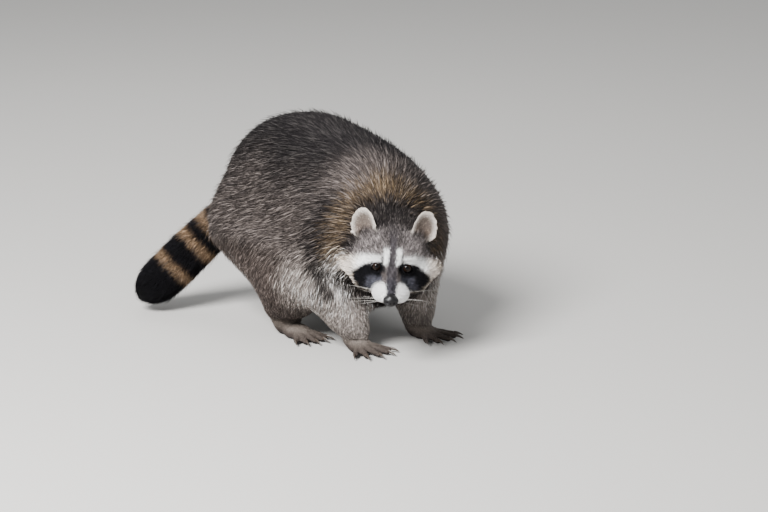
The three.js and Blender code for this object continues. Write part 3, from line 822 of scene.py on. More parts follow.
def along_tail(places):
    """Distance back from the tail's tip and out from its line, in millimetres, and its heading."""
    steps = np.linalg.norm(np.diff(TAIL_LINE, axis=0), axis=1)
    travelled = np.concatenate([[0], np.cumsum(steps)])
    best = np.full(len(places), np.inf)
    gone = np.zeros(len(places))
    heading = np.zeros((len(places), 3))
    for index, (start, end) in enumerate(zip(TAIL_LINE[:-1], TAIL_LINE[1:])):
        direction = (end - start) / steps[index]
        low = -np.inf if index == 0 else 0.0
        high = np.inf if index == len(steps) - 1 else steps[index]
        share = np.clip((places - start) @ direction, low, high)
        distance = np.linalg.norm(places - start - share[:, None] * direction, axis=1)
        closer = distance < best
        best[closer] = distance[closer]
        gone[closer] = travelled[index] + share[closer]
        heading[closer] = direction
    return (travelled[-1] - gone) / MM, best / MM, heading


def face_flow(points):
    """The lie of the head's coat, in its frame: away from the nose and the eyes, and down the cheeks."""
    nose_tip = np.array([0, -44, -20])
    near_eye, clear_of_eye = 2, 9
    x, y, z = points.T
    flow = points - nose_tip
    flow[:, 2] -= 14 * step(y, 0, -30)
    flow[:, 2] -= 22 * step(np.abs(x), 36, 68) + 30 * step(z, -20, -42)
    flow = unit(flow)
    for side in SIDES.values():
        centre, radius, _ = eye_frame(side)
        away = points - centre
        gap = np.linalg.norm(away, axis=1) - radius
        flow = mix(flow, unit(away), 0.8 * step(gap, clear_of_eye, near_eye))
    return flow


def coat_flow(ends):
    """The way that the coat lies at each vertex, along the skin."""
    places = Flesh.places
    axes = head_axes()
    points = in_head(places)
    ear = np.stack([np.sign(points[:, 0]) * 0.35, np.zeros(len(points)), np.ones(len(points))], axis=1)
    nape = head_origin() + axes @ np.array([0, 20 * MM, 30 * MM])
    ruff = unit(unit(places - nape) * 0.8 + np.array([0.1, 0.5, -0.55]))
    _, _, tail = along_tail(places)
    flows = {
        "head": face_flow(points) @ axes.T, "ear": ear @ axes.T, "neck": ruff,
        "trunk": np.array([0.0, 1.0, -0.62]), "tail": tail, "leg": np.array([0.0, 0.22, -1.0]),
        "foot": np.array([0.0, -1.0, -0.25]),
    }
    flow = sum(Flesh.weights[:, index, None] * flows[part] for index, part in enumerate(PART_NAMES))
    flow = relax(unit(laid_on_skin(flow)), ends, 0.6, 6)
    return unit(laid_on_skin(flow))


def laid_on_skin(flow):
    """Takes out of a direction what points into or out of the skin."""
    return flow - Flesh.normals * np.sum(flow * Flesh.normals, axis=1, keepdims=True)


# ------------------------------------------------------------------ the markings

# Distances back from the tail's tip, in millimetres, where the rings change from black to gold and back.
TAIL_RING_EDGES = (66, 80, 112, 127, 144, 161, 172, 186)
# The mask and the brow bars: heights over the face at distances out from its middle line, in millimetres.
MASK_OUT = (8, 13, 20, 26, 34, 44, 51, 57)
MASK_TOP = (2, 6.5, 7.5, 6.5, 5, 0, -5, -10)
MASK_LOW = (-14, -18, -26, -31, -30.5, -27, -21.5, -13)
BROW_OUT = (14, 17, 34, 44, 51, 59, 70, 80)
BROW_LOW = (6.5, 7.5, 5.5, 0, -5, -11, -22, -34)
BROW_TOP = (17, 17, 19, 18.5, 16, 12.5, 2, -12)
# Half the width of the dark line up the middle of the face, at heights over the face.
STRIPE_LEVEL = (-40, -20, -5, 3, 12, 28, 46, 60)
STRIPE_HALF = (8, 8.4, 7.4, 6, 5, 4.6, 6, 8)


def paint(name):
    return np.array(getattr(bpy.context.scene.raccoon_colours, name))


def plain_coat(name, places, dark, pale):
    """One colour and even shares of dark and pale hair at every place."""
    count = len(places)
    return np.tile(paint(name), (count, 1)), np.full(count, dark), np.full(count, pale)


def lay(colour, name, share):
    """Lays a named colour over others."""
    return mix(colour, paint(name), share)


def head_marking(places, normals):
    """Colour, dark share and pale share of the coat on the head."""
    points = in_head(places)
    wave = ripple(places, 14 * MM, 3)
    at = head_measures(points)
    out, level = at["out"], at["level"]
    at["wavy_level"] = level + wave
    at["wavy_out"] = out + 2 * wave
    colour, dark, pale = plain_coat("forehead", places, 0.34, 0.36)
    crown = np.maximum(area("crown", **at), area("crown_front", **at))
    colour = lay(colour, "crown", crown)
    pale -= 0.16 * crown
    colour = lay(colour, "jowl", area("jowl", **at))

    low, top = np.interp(out, BROW_OUT, BROW_LOW), np.interp(out, BROW_OUT, BROW_TOP)
    brow = step(level + 0.5 * wave, low - 1.5, low + 1.5) * step(level, top + 4.5, top - 3)
    brow *= area("brow_start", **at) * (1 - area("brow_back", **at))
    fade = step(level, low + 0.45 * (top - low), top + 2) * area("brow_inner", **at)
    colour = lay(colour, "cheek", area("cheek", **at))
    bar = lay(lay(paint("white")[None], "forehead", 0.8 * fade), "cheek", area("brow_buff", **at))
    colour = mix(colour, bar, brow)
    lift = area("brow_lift", **at)
    colour = lay(colour, "white", lift)
    colour = mix(colour, paint("stripe") * 0.5, area("brow_line", **at))

    low, top = np.interp(out, MASK_OUT, MASK_LOW), np.interp(out, MASK_OUT, MASK_TOP)
    edge = level + 0.4 * wave
    mask = step(edge, top + 1.4, top - 1.4) * step(edge, low - 1.5, low + 2) * area("mask", **at)
    inner = area("mask_edge", **at)
    colour = mix(colour, lay(paint("mask")[None], "mask_edge", 0.85 * inner), mask)

    middle = np.interp(level, STRIPE_LEVEL, STRIPE_HALF)
    stripe = step(out, middle + 1.3, middle - 1.3) * area("stripe", **at)
    colour = lay(colour, "bridge_side", area("bridge_side", **at))
    colour = mix(colour, lay(paint("stripe")[None], "bridge", area("bridge", **at)), 0.92 * stripe)

    rough = 0.04 * wave + 0.07 * ripple(places, 5 * MM, 4)
    muzzle = muzzle_patch(out, level, rough) * area("muzzle", **at)
    colour = lay(colour, "white", muzzle)
    chin = area("chin", **at)
    colour = mix(colour, paint("cheek") * 0.8, chin)
    # A darker copy of the jowl colour under the lip: dark throat fur with painted shade under the jaw.
    colour = mix(colour, paint("jowl") * 0.7, area("throat", **at))
    colour = lay(colour, "mask", area("nose_rim", **at))

    plain = np.clip(brow * (1 - fade) + lift + muzzle + chin, 0, 1)
    black = np.clip(mask + stripe + muzzle, 0, 1)
    dark = dark * (1 - plain) * (1 - black) + 0.03 * plain
    pale = pale * (1 - plain) * (1 - black) + 0.08 * mask * inner
    return colour, dark, pale


# The white patch beside the nose, in millimetres: its middle, out and level, its half width and how that
# narrows upwards, its half height, and how far it leans.
MUZZLE_OUT, MUZZLE_LEVEL = 16.5, -35
MUZZLE_HALF_WIDTH, MUZZLE_NARROWS, MUZZLE_HALF_HEIGHT = 10.5, 0.12, 15
MUZZLE_LEAN = 0.2


def muzzle_patch(out, level, rough):
    """1 in the white patch on each side of the muzzle and 0 outside it, with a rough edge."""
    along, over = out - MUZZLE_OUT, level - MUZZLE_LEVEL
    across = along * 0.9 + over * MUZZLE_LEAN
    height = over - along * MUZZLE_LEAN
    half_width = MUZZLE_HALF_WIDTH - MUZZLE_NARROWS * height
    return step(np.hypot(across / half_width, height / MUZZLE_HALF_HEIGHT) + rough, 1.12, 0.88)


def ruff_over(places, colour):
    """Lays the golden collar, the dark fur inside it with painted shade under the cheeks and behind the
    ears, and painted shade in the groove behind it over other colours.
    """
    middle, flattening = 22, 1.12
    points = in_head(places)
    x, y, _ = points.T
    level = face_level(points, 110)
    ring = np.hypot(x, (level - middle) / flattening) + 4 * ripple(places, 40 * MM, 31)
    at = {"level": level, "back": y, "ring": ring, "high_ring": ring - area("ruff_low", level=level)}
    colour = lay(colour, "back", area("groove_shade", **at))
    # Inside the collar: dark fur with painted shade under the cheeks and behind the ears.
    inside = lay(paint("inner_ruff_and_shade")[None], "crown", area("inner_ruff_top", **at))
    colour = mix(colour, inside, area("inner_ruff_and_shade", **at))
    under = lay(lay(paint("foreleg")[None], "white", 0.4), "ruff", area("collar_gold", **at))
    return mix(colour, under, area("collar", **at))


def body_marking(places, normals):
    """The trunk, from the dark back to the paler belly."""
    _, y, z = places.T / MM
    at = {
        "rise": normals[:, 2] + 0.12 * ripple(places, 90 * MM, 11), "rear": y,
        "wavy_height": z + 8 * ripple(places, 70 * MM, 12),
    }
    back = area("back", **at)
    colour, dark, pale = plain_coat("flank", places, 0.27, 0.34)
    colour = lay(colour, "haunch", area("rump", **at))
    colour = lay(colour, "back", 0.95 * back)
    colour = lay(colour, "belly", area("belly", **at))
    return tail_over(places, ruff_over(places, colour)), dark + 0.15 * back, pale - 0.12 * back


def ruff_marking(places, normals):
    """The ruff: grey-brown with a golden collar."""
    colour, dark, pale = plain_coat("flank", places, 0.32, 0.2)
    return ruff_over(places, colour), dark, pale


def ear_marking(places, normals):
    """Cream rims, grey-brown bowls that are partly the skin's own colour and partly painted shade, with
    browner painted shade low down, and pale backs with a dark root.
    """
    points = in_head(places)
    local = np.where(points[:, :1] < 0, ear_place(points, -1)[0], ear_place(points, 1)[0])
    at = {
        "ahead": -(normals @ head_axes())[:, 1], "ear_ring": ear_ring(local), "ear_height": local[:, 2],
    }
    bowl = area("ear_bowl", **at)
    colour, dark, pale = plain_coat("ear", places, 0.05, 0.06)
    # The bowl darkens partly as the skin's own colour and partly as painted shade, browner low down.
    colour = mix(colour, lay(paint("ear_bowl_and_shade")[None], "ear_hollow_shade", area("ear_hollow_shade", **at)), 0.9 * bowl)
    colour = lay(colour, "crown", area("ear_back", **at))
    return colour, dark, pale + 0.12 * bowl


def leg_marking(places, normals):
    """Pale forelegs and browner hind legs, both darker towards the wrist and heel."""
    _, y, height = places.T / MM
    fore = area("foreleg", rear=y)
    colour, dark, pale = plain_coat("hindleg", places, 0.22, 0.28)
    colour = lay(colour, "foreleg", fore)
    colour = lay(colour, "haunch", area("haunch", height=height) * (1 - fore))
    colour = lay(colour, "crown", area("wrist", height=height) * (0.5 + 0.5 * fore))
    # The ruff's marks run onto the tops of the legs, with the painted shade under the cheeks.
    colour = mix(colour, ruff_over(places, colour), area("leg_top", height=height))
    return tail_over(places, colour), dark, pale + 0.12 * fore


def foot_marking(places, normals):
    """Grey tops, darker toes and dark bare pads."""
    height = places[:, 2] / MM
    colour, dark, pale = plain_coat("toe", places, 0.12, 0.2)
    colour = lay(colour, "foot", area("foot_top", height=height))
    return lay(colour, "pad", area("foot_pad", height=height)), dark, pale


def tail_rings(places):
    """Colour of the ringed tail, 1 on its gold rings, and the measures of the tail's areas."""
    soft = 2
    from_tip, off_tail, _ = along_tail(places)
    wavy_tip = from_tip + 1.1 * ripple(places, 22 * MM, 21)
    gold = np.zeros(len(places))
    for low, high in zip(TAIL_RING_EDGES[::2], TAIL_RING_EDGES[1::2]):
        gold += step(wavy_tip, low - soft, low + soft) * step(wavy_tip, high + soft, high - soft)
    at = {"from_tip": from_tip, "wavy_tip": wavy_tip, "off_tail": off_tail}
    pale = lay(np.tile(paint("tail_gold"), (len(places), 1)), "flank", area("grey_rings", **at))
    return mix(paint("mask"), pale, gold), gold, at


def tail_over(places, colour):
    """Runs the tail's last rings on over the coat of the rump beside it."""
    rings, _, at = tail_rings(places)
    return mix(colour, rings, area("tail_on_rump", **at))


def tail_marking(places, normals):
    """Black and gold rings, greyer near the rump, with a black tip."""
    colour, gold, at = tail_rings(places)
    colour = mix(colour, paint("haunch") * 0.8, area("tail_root", **at))
    return colour, 0.2 * gold, 0.2 * gold


MARKINGS = {
    "head": head_marking, "ear": ear_marking, "neck": ruff_marking, "trunk": body_marking,
    "tail": tail_marking, "leg": leg_marking, "foot": foot_marking,
}


def markings(places, normals, weights):
    """Colour and shares of dark and pale hair at any place on the coat or the skin."""
    totals = [np.zeros((len(places), 3)), np.zeros(len(places)), np.zeros(len(places))]
    for index, part in enumerate(PART_NAMES):
        share = weights[:, index]
        colour, dark, pale = MARKINGS[part](places, normals)
        totals[0] += share[:, None] * colour
        totals[1] += share * dark
        totals[2] += share * pale
    return totals


def set_colours(mesh, colours):
    """Stores one colour per vertex for the materials to read."""
    attribute = mesh.color_attributes.new("coat", "FLOAT_COLOR", "POINT")
    rgba = np.ones((len(colours), 4), np.float32)
    rgba[:, :3] = colours
    attribute.data.foreach_set("color", rgba.ravel())


def paint_skin(skin):
    """Gives the skin the coat's own markings, a little darker as painted shade deep under the locks, with a
    painted highlight on the lower outer edge of the lids.
    """
    # The skin is painted darker than the coat: painted shade deep under the locks.
    deep_shade = 0.8
    colour, _, _ = markings(Flesh.places, Flesh.normals, Flesh.weights)
    colour = colour * deep_shade
    points = in_head(Flesh.places)
    for side in SIDES.values():
        along, over, ahead, ring = eye_ring(points, side)
        close = (ahead > 0) & (ring < 1.6)
        colour[close] = paint("mask") * deep_shade
        # A painted highlight: light caught on the lower outer edge of each lid.
        lid_highlight = ridge(ring, 1.1, 0.1) * step(along - over, -2, 3) * close
        colour = lay(colour, "lid", 0.75 * lid_highlight)
    set_colours(skin.data, colour)
    skin.data.materials.clear()
    skin.data.materials.append(coat_material("skin", 0.7, 0.6))


# ------------------------------------------------------------------ materials


def set_inputs(node, **values):
    """Sets a node's inputs by their names, with _ for a space."""
    for name, value in values.items():
        node.inputs[name.replace("_", " ")].default_value = value


def tone_group():
    """Fine light and dark over a colour, as of hair and hide, with a height to match."""
    group = bpy.data.node_groups.get("hair_tone")
    if group:
        return group
    group = bpy.data.node_groups.new("hair_tone", "ShaderNodeTree")
    for name, way, kind in (
        ("Color", "INPUT", "NodeSocketColor"),
        ("Scale", "INPUT", "NodeSocketFloat"),
        ("Strength", "INPUT", "NodeSocketFloat"),
        ("Color", "OUTPUT", "NodeSocketColor"),
        ("Height", "OUTPUT", "NodeSocketFloat"),
    ):
        group.interface.new_socket(name, in_out=way, socket_type=kind)
    nodes, links = group.nodes, group.links
    entry = nodes.new("NodeGroupInput")
    result = nodes.new("NodeGroupOutput")
    place = nodes.new("ShaderNodeTexCoord")
    noise = nodes.new("ShaderNodeTexNoise")
    set_inputs(noise, Detail=3.0)
    spread = nodes.new("ShaderNodeMapRange")
    set_inputs(spread, From_Min=0.3, From_Max=0.7, To_Min=0.55, To_Max=1.25)
    tint = nodes.new("ShaderNodeMix")
    tint.data_type = "RGBA"
    tint.blend_type = "MULTIPLY"
    factor, first, second = tint.inputs[0], tint.inputs[6], tint.inputs[7]
    links.new(place.outputs["Object"], noise.inputs["Vector"])
    links.new(entry.outputs["Scale"], noise.inputs["Scale"])
    links.new(noise.outputs["Fac"], spread.inputs["Value"])
    links.new(entry.outputs["Strength"], factor)
    links.new(entry.outputs["Color"], first)
    links.new(spread.outputs["Result"], second)
    links.new(tint.outputs[2], result.inputs["Color"])
    links.new(noise.outputs["Fac"], result.inputs["Height"])
    return group


def new_material(name):
    material = bpy.data.materials.new(name)
    material.use_nodes = True
    shader = material.node_tree.nodes["Principled BSDF"]
    return material, material.node_tree.nodes, material.node_tree.links, shader


def coat_material(name, roughness, strength):
    """Hair or hide coloured by the piece's own colours."""
    material, nodes, links, shader = new_material(name)
    colour = nodes.new("ShaderNodeAttribute")
    colour.attribute_name = "coat"
    tone = nodes.new("ShaderNodeGroup")
    tone.node_tree = tone_group()
    set_inputs(tone, Scale=900.0, Strength=strength)
    relief = nodes.new("ShaderNodeBump")
    set_inputs(relief, Strength=0.25, Distance=0.3 * MM)
    links.new(colour.outputs["Color"], tone.inputs["Color"])
    links.new(tone.outputs["Color"], shader.inputs["Base Color"])
    links.new(tone.outputs["Height"], relief.inputs["Height"])
    links.new(relief.outputs["Normal"], shader.inputs["Normal"])
    set_inputs(shader, Roughness=roughness, Specular_IOR_Level=0.08)
    return material


# ------------------------------------------------------------------ the locks


def scatter(part, count, chance):
    """Roots spread over one part's skin by the size of its locks: corner indices and their shares."""
    index = PART_NAMES.index(part)
    label = np.argmax(Flesh.part, axis=1)
    inside = np.sum(label[Flesh.triangles] == index, axis=1) >= 2
    inside &= ~np.any(Flesh.bare[Flesh.triangles], axis=1)
    triangles = Flesh.triangles[inside]
    first, second, third = np.moveaxis(Flesh.places[triangles], 1, 0)
    room = np.linalg.norm(np.cross(second - first, third - first), axis=1) / 2
    depth = Flesh.depth[triangles].mean(1)
    crowd = np.cumsum(room / (lock_length(depth) * lock_width(depth)))
    target = (np.arange(count) + chance.random(count)) / count * crowd[-1]
    chosen = np.minimum(np.searchsorted(crowd, target), len(triangles) - 1)
    first = np.sqrt(chance.random(count))
    second = chance.random(count)
    shares = np.stack([1 - first, first * (1 - second), first * second], axis=1)
    return triangles[chosen], shares


# A lock's least length and what a coat's depth adds to it, and its least width and what its length adds.
LEAST_LENGTH, LENGTH_BY_DEPTH = 1.3 * MM, 1.9
LEAST_WIDTH, WIDTH_BY_LENGTH = 0.24 * MM, 0.026


def lock_length(depth):
    """Length of a lock on a coat of this depth, in metres."""
    return LEAST_LENGTH + LENGTH_BY_DEPTH * depth


def lock_width(depth):
    return LEAST_WIDTH + WIDTH_BY_LENGTH * lock_length(depth)


def blend_of(values, corners, shares):
    return np.einsum("nc,ncd->nd", shares, values[corners])


def on_skin(places):
    """The nearest skin to each place: the point, its normal, the lie of the coat there and its depth."""
    faces, points = nearest_faces(Flesh.tree, places)
    corners = Flesh.triangles[faces]
    normals = unit(Flesh.normals[corners].mean(1))
    return points, normals, Flesh.flow[corners].mean(1), Flesh.depth[corners].mean(1)


def tufts_of(roots, groups, chance):
    """The tuft that each root belongs to, and the way from the root to the tuft's middle."""
    centres = roots[chance.choice(len(roots), groups, replace=False)]
    tree = KDTree(len(centres))
    for index, centre in enumerate(centres.tolist()):
        tree.insert(centre, index)
    tree.balance()
    nearest = np.array([tree.find(root)[1] for root in roots.tolist()])
    return nearest, centres[nearest] - roots


# The share of guard hairs, the least depth of coat that has them, and how high they stand beside others.
GUARD_SHARE = 0.06
GUARD_DEPTH = 5 * MM
GUARD_RISE = 1.45
# How high a lock's middle stands, as a share of the coat's depth, and how deep its root is sunk.
MIDDLE_RISE = 0.72
ROOT_SUNK = 0.4 * MM


def grow_locks(part, count, seed):
    """The points and colours of every lock on one part: root, three round its middle, and tip."""
    settings = bpy.context.scene.raccoon_coat
    chance = np.random.default_rng(seed)
    corners, shares = scatter(part, count, np.random.default_rng(seed))
    roots = blend_of(Flesh.places, corners, shares)
    normals = unit(blend_of(Flesh.normals, corners, shares))
    flow = blend_of(Flesh.flow, corners, shares)
    depth = np.einsum("nc,nc->n", shares, Flesh.depth[corners])
    length = lock_length(depth) * chance.uniform(0.75, 1.2, count)
    length = length * (1 + area("long_cheek", **head_measures(in_head(roots))))
    if part == "tail":
        length *= settings.tail_length
    width = lock_width(depth) * chance.uniform(0.7, 1.3, count)
    stray = chance.normal(0, settings.stray, count) + 0.16 * ripple(roots, 35 * MM, seed + 1)
    sideways = np.cross(normals, flow)
    heading = unit(flow * np.cos(stray)[:, None] + sideways * np.sin(stray)[:, None])
    tuft, offset = tufts_of(roots, max(count // settings.tuft_size, 4), chance)
    middle, middle_normal, middle_flow, _ = on_skin(roots + heading * (0.5 * length)[:, None])
    bend = unit(middle_flow + 0.6 * (heading - flow))
    tip, tip_normal, _, tip_depth = on_skin(middle + bend * (0.5 * length)[:, None])
    guard = (chance.random(count) < GUARD_SHARE) & (depth > GUARD_DEPTH)
    lift = chance.uniform(0.6, 1.12, count) * np.where(guard, GUARD_RISE, 1.0)
    middle_rise = MIDDLE_RISE * depth * lift
    middle = middle + middle_normal * middle_rise[:, None] + offset * 0.4 * settings.clump
    tip_rise = np.minimum(depth, tip_depth + 0.3 * MM) * lift
    tip = tip + tip_normal * tip_rise[:, None] + offset * settings.clump
    across = unit(np.cross(middle_normal, tip - roots))
    out = unit(np.cross(tip - roots, across))
    half = (0.5 * width)[:, None]
    points = np.stack([
        roots - normals * ROOT_SUNK, middle - across * half, middle + across * half,
        middle + out * (0.45 * width)[:, None], tip,
    ], axis=1)
    colours = lock_colours(part, corners, shares, middle, tip, middle_normal, tuft, chance)
    return roots, points, colours


# How far a lock may take its colour from, which softens the markings, in metres.
MARK_SPREAD = {
    "head": 1.3 * MM, "ear": 1.0 * MM, "neck": 6 * MM, "trunk": 7 * MM, "tail": 1.4 * MM,
    "leg": 6 * MM, "foot": 1.5 * MM,
}


def lock_colours(part, corners, shares, middle, tip, normals, tuft, chance):
    """Colours at the root, round the middle and at the tip of each lock, some with dark or pale tips, and
    roots darkened as darker underfur and painted shade among the locks.
    """
    by_tuft = 0.35  # the share of locks that are dark or pale with the whole tuft
    count = len(middle)
    weights = blend_of(Flesh.weights, corners, shares)
    spread = chance.normal(0, MARK_SPREAD[part], (count, 3))
    ring, dark, pale = markings(middle + spread, normals, weights)
    end, _, _ = markings(tip + spread, normals, weights)
    tufts = tuft.max() + 1
    kind = np.where(chance.random(count) < by_tuft, chance.random(tufts)[tuft], chance.random(count))
    is_dark = kind < dark
    is_pale = (kind >= dark) & (kind < dark + pale)
    tone = bpy.context.scene.raccoon_coat.tone
    tone = 1 + tone * chance.uniform(-1, 1, tufts)[tuft] + 0.5 * tone * chance.uniform(-1, 1, count)
    if part == "head":
        streaks = 0.35 * ripple(middle, 6 * MM, 41) * step(ring.mean(1), 0.6, 0.3)
        tone = tone * (1 + streaks)
    ring = np.minimum(ring * tone[:, None], 0.93)
    end = np.minimum(end * tone[:, None] * 1.06, 0.95)
    # Roots are darker: partly the darker underfur, partly painted shade deep among the locks.
    root = ring * (0.55 + 0.3 * ring.mean(1, keepdims=True))
    bright = 0.08 * paint("pale_hair") + 0.92 * np.minimum(end * 3.0, 0.85)
    ring = lay(ring, "dark_hair", 0.5 * is_dark)
    end = lay(end, "dark_hair", 0.85 * is_dark)
    ring = mix(ring, bright, 0.45 * is_pale)
    end = mix(end, bright, 0.82 * is_pale)
    return np.stack([root, ring, ring, ring, end], axis=1)


LOCK_FACES = np.array([(0, 2, 1), (0, 3, 2), (0, 1, 3), (4, 1, 2), (4, 2, 3), (4, 3, 1)])
# Each lock's patch on the OFBake map, as shares of the patch: root, left, right, ridge and tip.
LOCK_PATCH = np.array([(0.5, 0.0), (0.0, 0.4), (1.0, 0.4), (0.5, 0.62), (0.5, 1.0)])
# The side of a lock's patch, as a share of the map.
PATCH = 0.003
# Planes between the left and the right legs and between the forelegs and the hind legs.
LEGS_PART_X = 12 * MM
LEGS_PART_Y = -45 * MM


def unwrap(roots, part):
    """Each root's place on a flat map of its part, wound round the part's own length."""
    if part == "tail":
        gone, _, heading = along_tail(roots)
        side = unit(np.cross(heading, [0, 0, 1]))
        top = np.cross(side, heading)
        nearest = np.argmin(np.linalg.norm(roots[:, None] - TAIL_LINE[None], axis=2), axis=1)
        offset = roots - TAIL_LINE[nearest]
        angle = np.arctan2(np.sum(offset * side, axis=1), np.sum(offset * top, axis=1))
        return np.stack([angle, gone], axis=1)
    x, y, z = (in_head(roots) * MM if part in ("head", "ear") else roots).T
    if part == "ear":
        return np.stack([wound_apart(x, y, (x > 0).astype(int)), z], axis=1)
    limb = (x > LEGS_PART_X).astype(int) + 2 * (y > LEGS_PART_Y)
    if part == "leg":
        return np.stack([wound_apart(x, y, limb), z], axis=1)
    if part == "foot":
        return np.stack([wound_apart(x, z, limb), y], axis=1)
    return np.stack([np.arctan2(x - x.mean(), z - z.mean()), y], axis=1)


def wound_apart(first, second, which):
    """Turn of each root round the middle of its own limb, with the limbs side by side."""
    spacing = 1.02
    turn = np.zeros(len(first))
    for index in np.unique(which):
        own = which == index
        out, over = first[own] - first[own].mean(), second[own] - second[own].mean()
        turn[own] = np.arctan2(out, over) / math.tau + 0.5 + spacing * index
    return turn


def build_coat(name, part, slot, roots, points, colours, material):
    """Makes one mesh of closed locks, with its colours and its bake map."""
    corners = points.shape[1]
    faces = (LOCK_FACES[None] + (np.arange(len(roots)) * corners)[:, None, None]).reshape(-1, 3)
    mesh = bpy.data.meshes.new(name)
    mesh.vertices.add(len(roots) * corners)
    mesh.vertices.foreach_set("co", points.astype(np.float32).ravel())
    mesh.loops.add(len(faces) * 3)
    mesh.loops.foreach_set("vertex_index", faces.astype(np.int32).ravel())
    mesh.polygons.add(len(faces))
    mesh.polygons.foreach_set("loop_start", np.arange(0, len(faces) * 3, 3, dtype=np.int32))
    mesh.polygons.foreach_set("use_smooth", np.ones(len(faces), bool))
    mesh.update(calc_edges=True)
    flat = unwrap(roots, part)
    flat = (flat - flat.min(0)) / np.maximum(flat.max(0) - flat.min(0), 1e-9)
    flat = PATCH + flat * (1 - 3 * PATCH)
    spots = flat[:, None] + (LOCK_PATCH - 0.5)[None] * PATCH + PATCH / 2
    spots = spots.reshape(-1, 2)[faces.ravel()]
    layer = mesh.uv_layers.new(name="OFBake")
    layer.data.foreach_set("uv", spots.astype(np.float32).ravel())
    set_colours(mesh, colours.reshape(-1, 3))
    mesh.materials.append(material)
    keep(new_piece(name, mesh), name, slot)


def coat_part(part, names, slot, count, seed):
    """Grows a part's coat and shares it, from front to back, among pieces of about equal size."""
    roots, points, colours = grow_locks(part, count, seed)
    material = bpy.data.materials.get("fur") or coat_material("fur", 0.62, 0.35)
    order = np.argsort(roots[:, 1], kind="stable")
    for name, chosen in zip(names, np.array_split(order, len(names))):
        build_coat(name, part, slot, roots[chosen], points[chosen], colours[chosen], material)


# ------------------------------------------------------------------ eyes, nose, claws, whiskers


# Angles from the middle of the gaze where the clear bulge, the iris and the pupil begin and are full, in
# radians, and how far the bulge stands out as a share of the radius.
BULGE_ANGLES, IRIS_ANGLES, PUPIL_ANGLES = (0.85, 0.2), (0.82, 0.74), (0.46, 0.4)
BULGE = 0.05
IRIS_RAYS = 23


def make_eyes():
    """Two glossy eyes of iris and pupil with a clear bulge in front."""
    head = bpy.context.scene.raccoon_head
    material, nodes, links, shader = new_material("eye")
    colour = nodes.new("ShaderNodeAttribute")
    colour.attribute_name = "coat"
    links.new(colour.outputs["Color"], shader.inputs["Base Color"])
    set_inputs(shader, Roughness=0.1, Specular_IOR_Level=0.0, Coat_Weight=0.3, Coat_Roughness=0.02)
    for name, side in SIDES.items():
        node = "eye_" + name
        low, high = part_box(node)
        radius = (high - low).z / 2
        bpy.ops.object.select_all(action="DESELECT")
        bpy.ops.mesh.primitive_uv_sphere_add(segments=64, ring_count=48, radius=radius, location=(0, 0, 0))
        piece = bpy.context.object
        gaze = head_axes() @ np.array([0.02 * side, -math.cos(head.gaze_up), math.sin(head.gaze_up)])
        turn = np.array(Vector((0, 0, 1)).rotation_difference(Vector(unit(gaze))).to_matrix())
        places = vertex_places(piece.data)
        angle = np.arccos(np.clip(places[:, 2] / radius, -1, 1))
        bulge = 1 + BULGE * step(angle, *BULGE_ANGLES)
        places = places * bulge[:, None] * 0.985
        rays = 1 + 0.3 * np.sin(np.arctan2(places[:, 1], places[:, 0]) * IRIS_RAYS)
        tone = mix(paint("eye_rim"), paint("iris")[None] * rays[:, None], step(angle, *IRIS_ANGLES))
        set_colours(piece.data, lay(tone, "pupil", step(angle, *PUPIL_ANGLES)))
        place_vertices(piece.data, places @ turn.T + np.array((low + high) / 2))
        shade_smooth(piece)
        piece.data.materials.append(material)
        keep(piece, "eyeball_" + name, "eye", node)


# On a nose of half size 1: the middles of the nostril and of the slit beside it, out and up, their half
# widths and heights, and the half width of the groove in the middle.
NOSTRIL, NOSTRIL_HALF = (0.5, -0.02), (0.17, 0.2)
SLIT, SLIT_HALF = (0.86, -0.18), (0.22, 0.09)
GROOVE_HALF = 0.07
# How deep each is, as a share of the way to the nose's middle.
NOSTRIL_DEPTH, SLIT_DEPTH, GROOVE_DEPTH = 0.42, 0.16, 0.14


def make_nose():
    """The nose pad, with nostrils, a groove and a fine pebble."""
    bpy.ops.object.select_all(action="DESELECT")
    bpy.ops.mesh.primitive_ico_sphere_add(subdivisions=6, radius=1.0, location=(0, 0, 0))
    piece = bpy.context.object
    x, y, z = vertex_places(piece.data).T
    side = np.abs(x)
    wide = 1 - 0.3 * step(z, 0.1, 0.9) - 0.16 * step(z, -0.4, -1)
    flat_top = np.minimum(z, 0.78 + 0.14 * z)
    front = step(y, 0, -0.4)
    slant = 0.5 * (side - NOSTRIL[0])
    nostril = ridge(side, NOSTRIL[0], NOSTRIL_HALF[0]) * ridge(z - slant, NOSTRIL[1], NOSTRIL_HALF[1])
    slit = ridge(side, SLIT[0], SLIT_HALF[0]) * ridge(z, SLIT[1], SLIT_HALF[1]) * step(y, 0.5, 0.0)
    groove = ridge(x, 0, GROOVE_HALF) * step(z, 0.35, 0.0)
    press = 1 - (NOSTRIL_DEPTH * nostril + GROOVE_DEPTH * groove) * front - SLIT_DEPTH * slit
    points = np.stack([x * wide, y, flat_top], axis=1) * NOSE_HALF * 0.98 * press[:, None]
    place_vertices(piece.data, from_head(points + nose_centre()))
    shade_smooth(piece)

    material, nodes, links, shader = new_material("nose")
    place = nodes.new("ShaderNodeTexCoord")
    cells = nodes.new("ShaderNodeTexVoronoi")
    set_inputs(cells, Scale=1300.0)
    relief = nodes.new("ShaderNodeBump")
    set_inputs(relief, Strength=0.5, Distance=0.25 * MM)
    links.new(place.outputs["Object"], cells.inputs["Vector"])
    links.new(cells.outputs["Distance"], relief.inputs["Height"])
    links.new(relief.outputs["Normal"], shader.inputs["Normal"])
    set_inputs(shader, Base_Color=(*paint("nose"), 1), Roughness=0.42, Specular_IOR_Level=0.3)
    piece.data.materials.append(material)
    keep(piece, "nose_pad", "nose_pad", "nose")


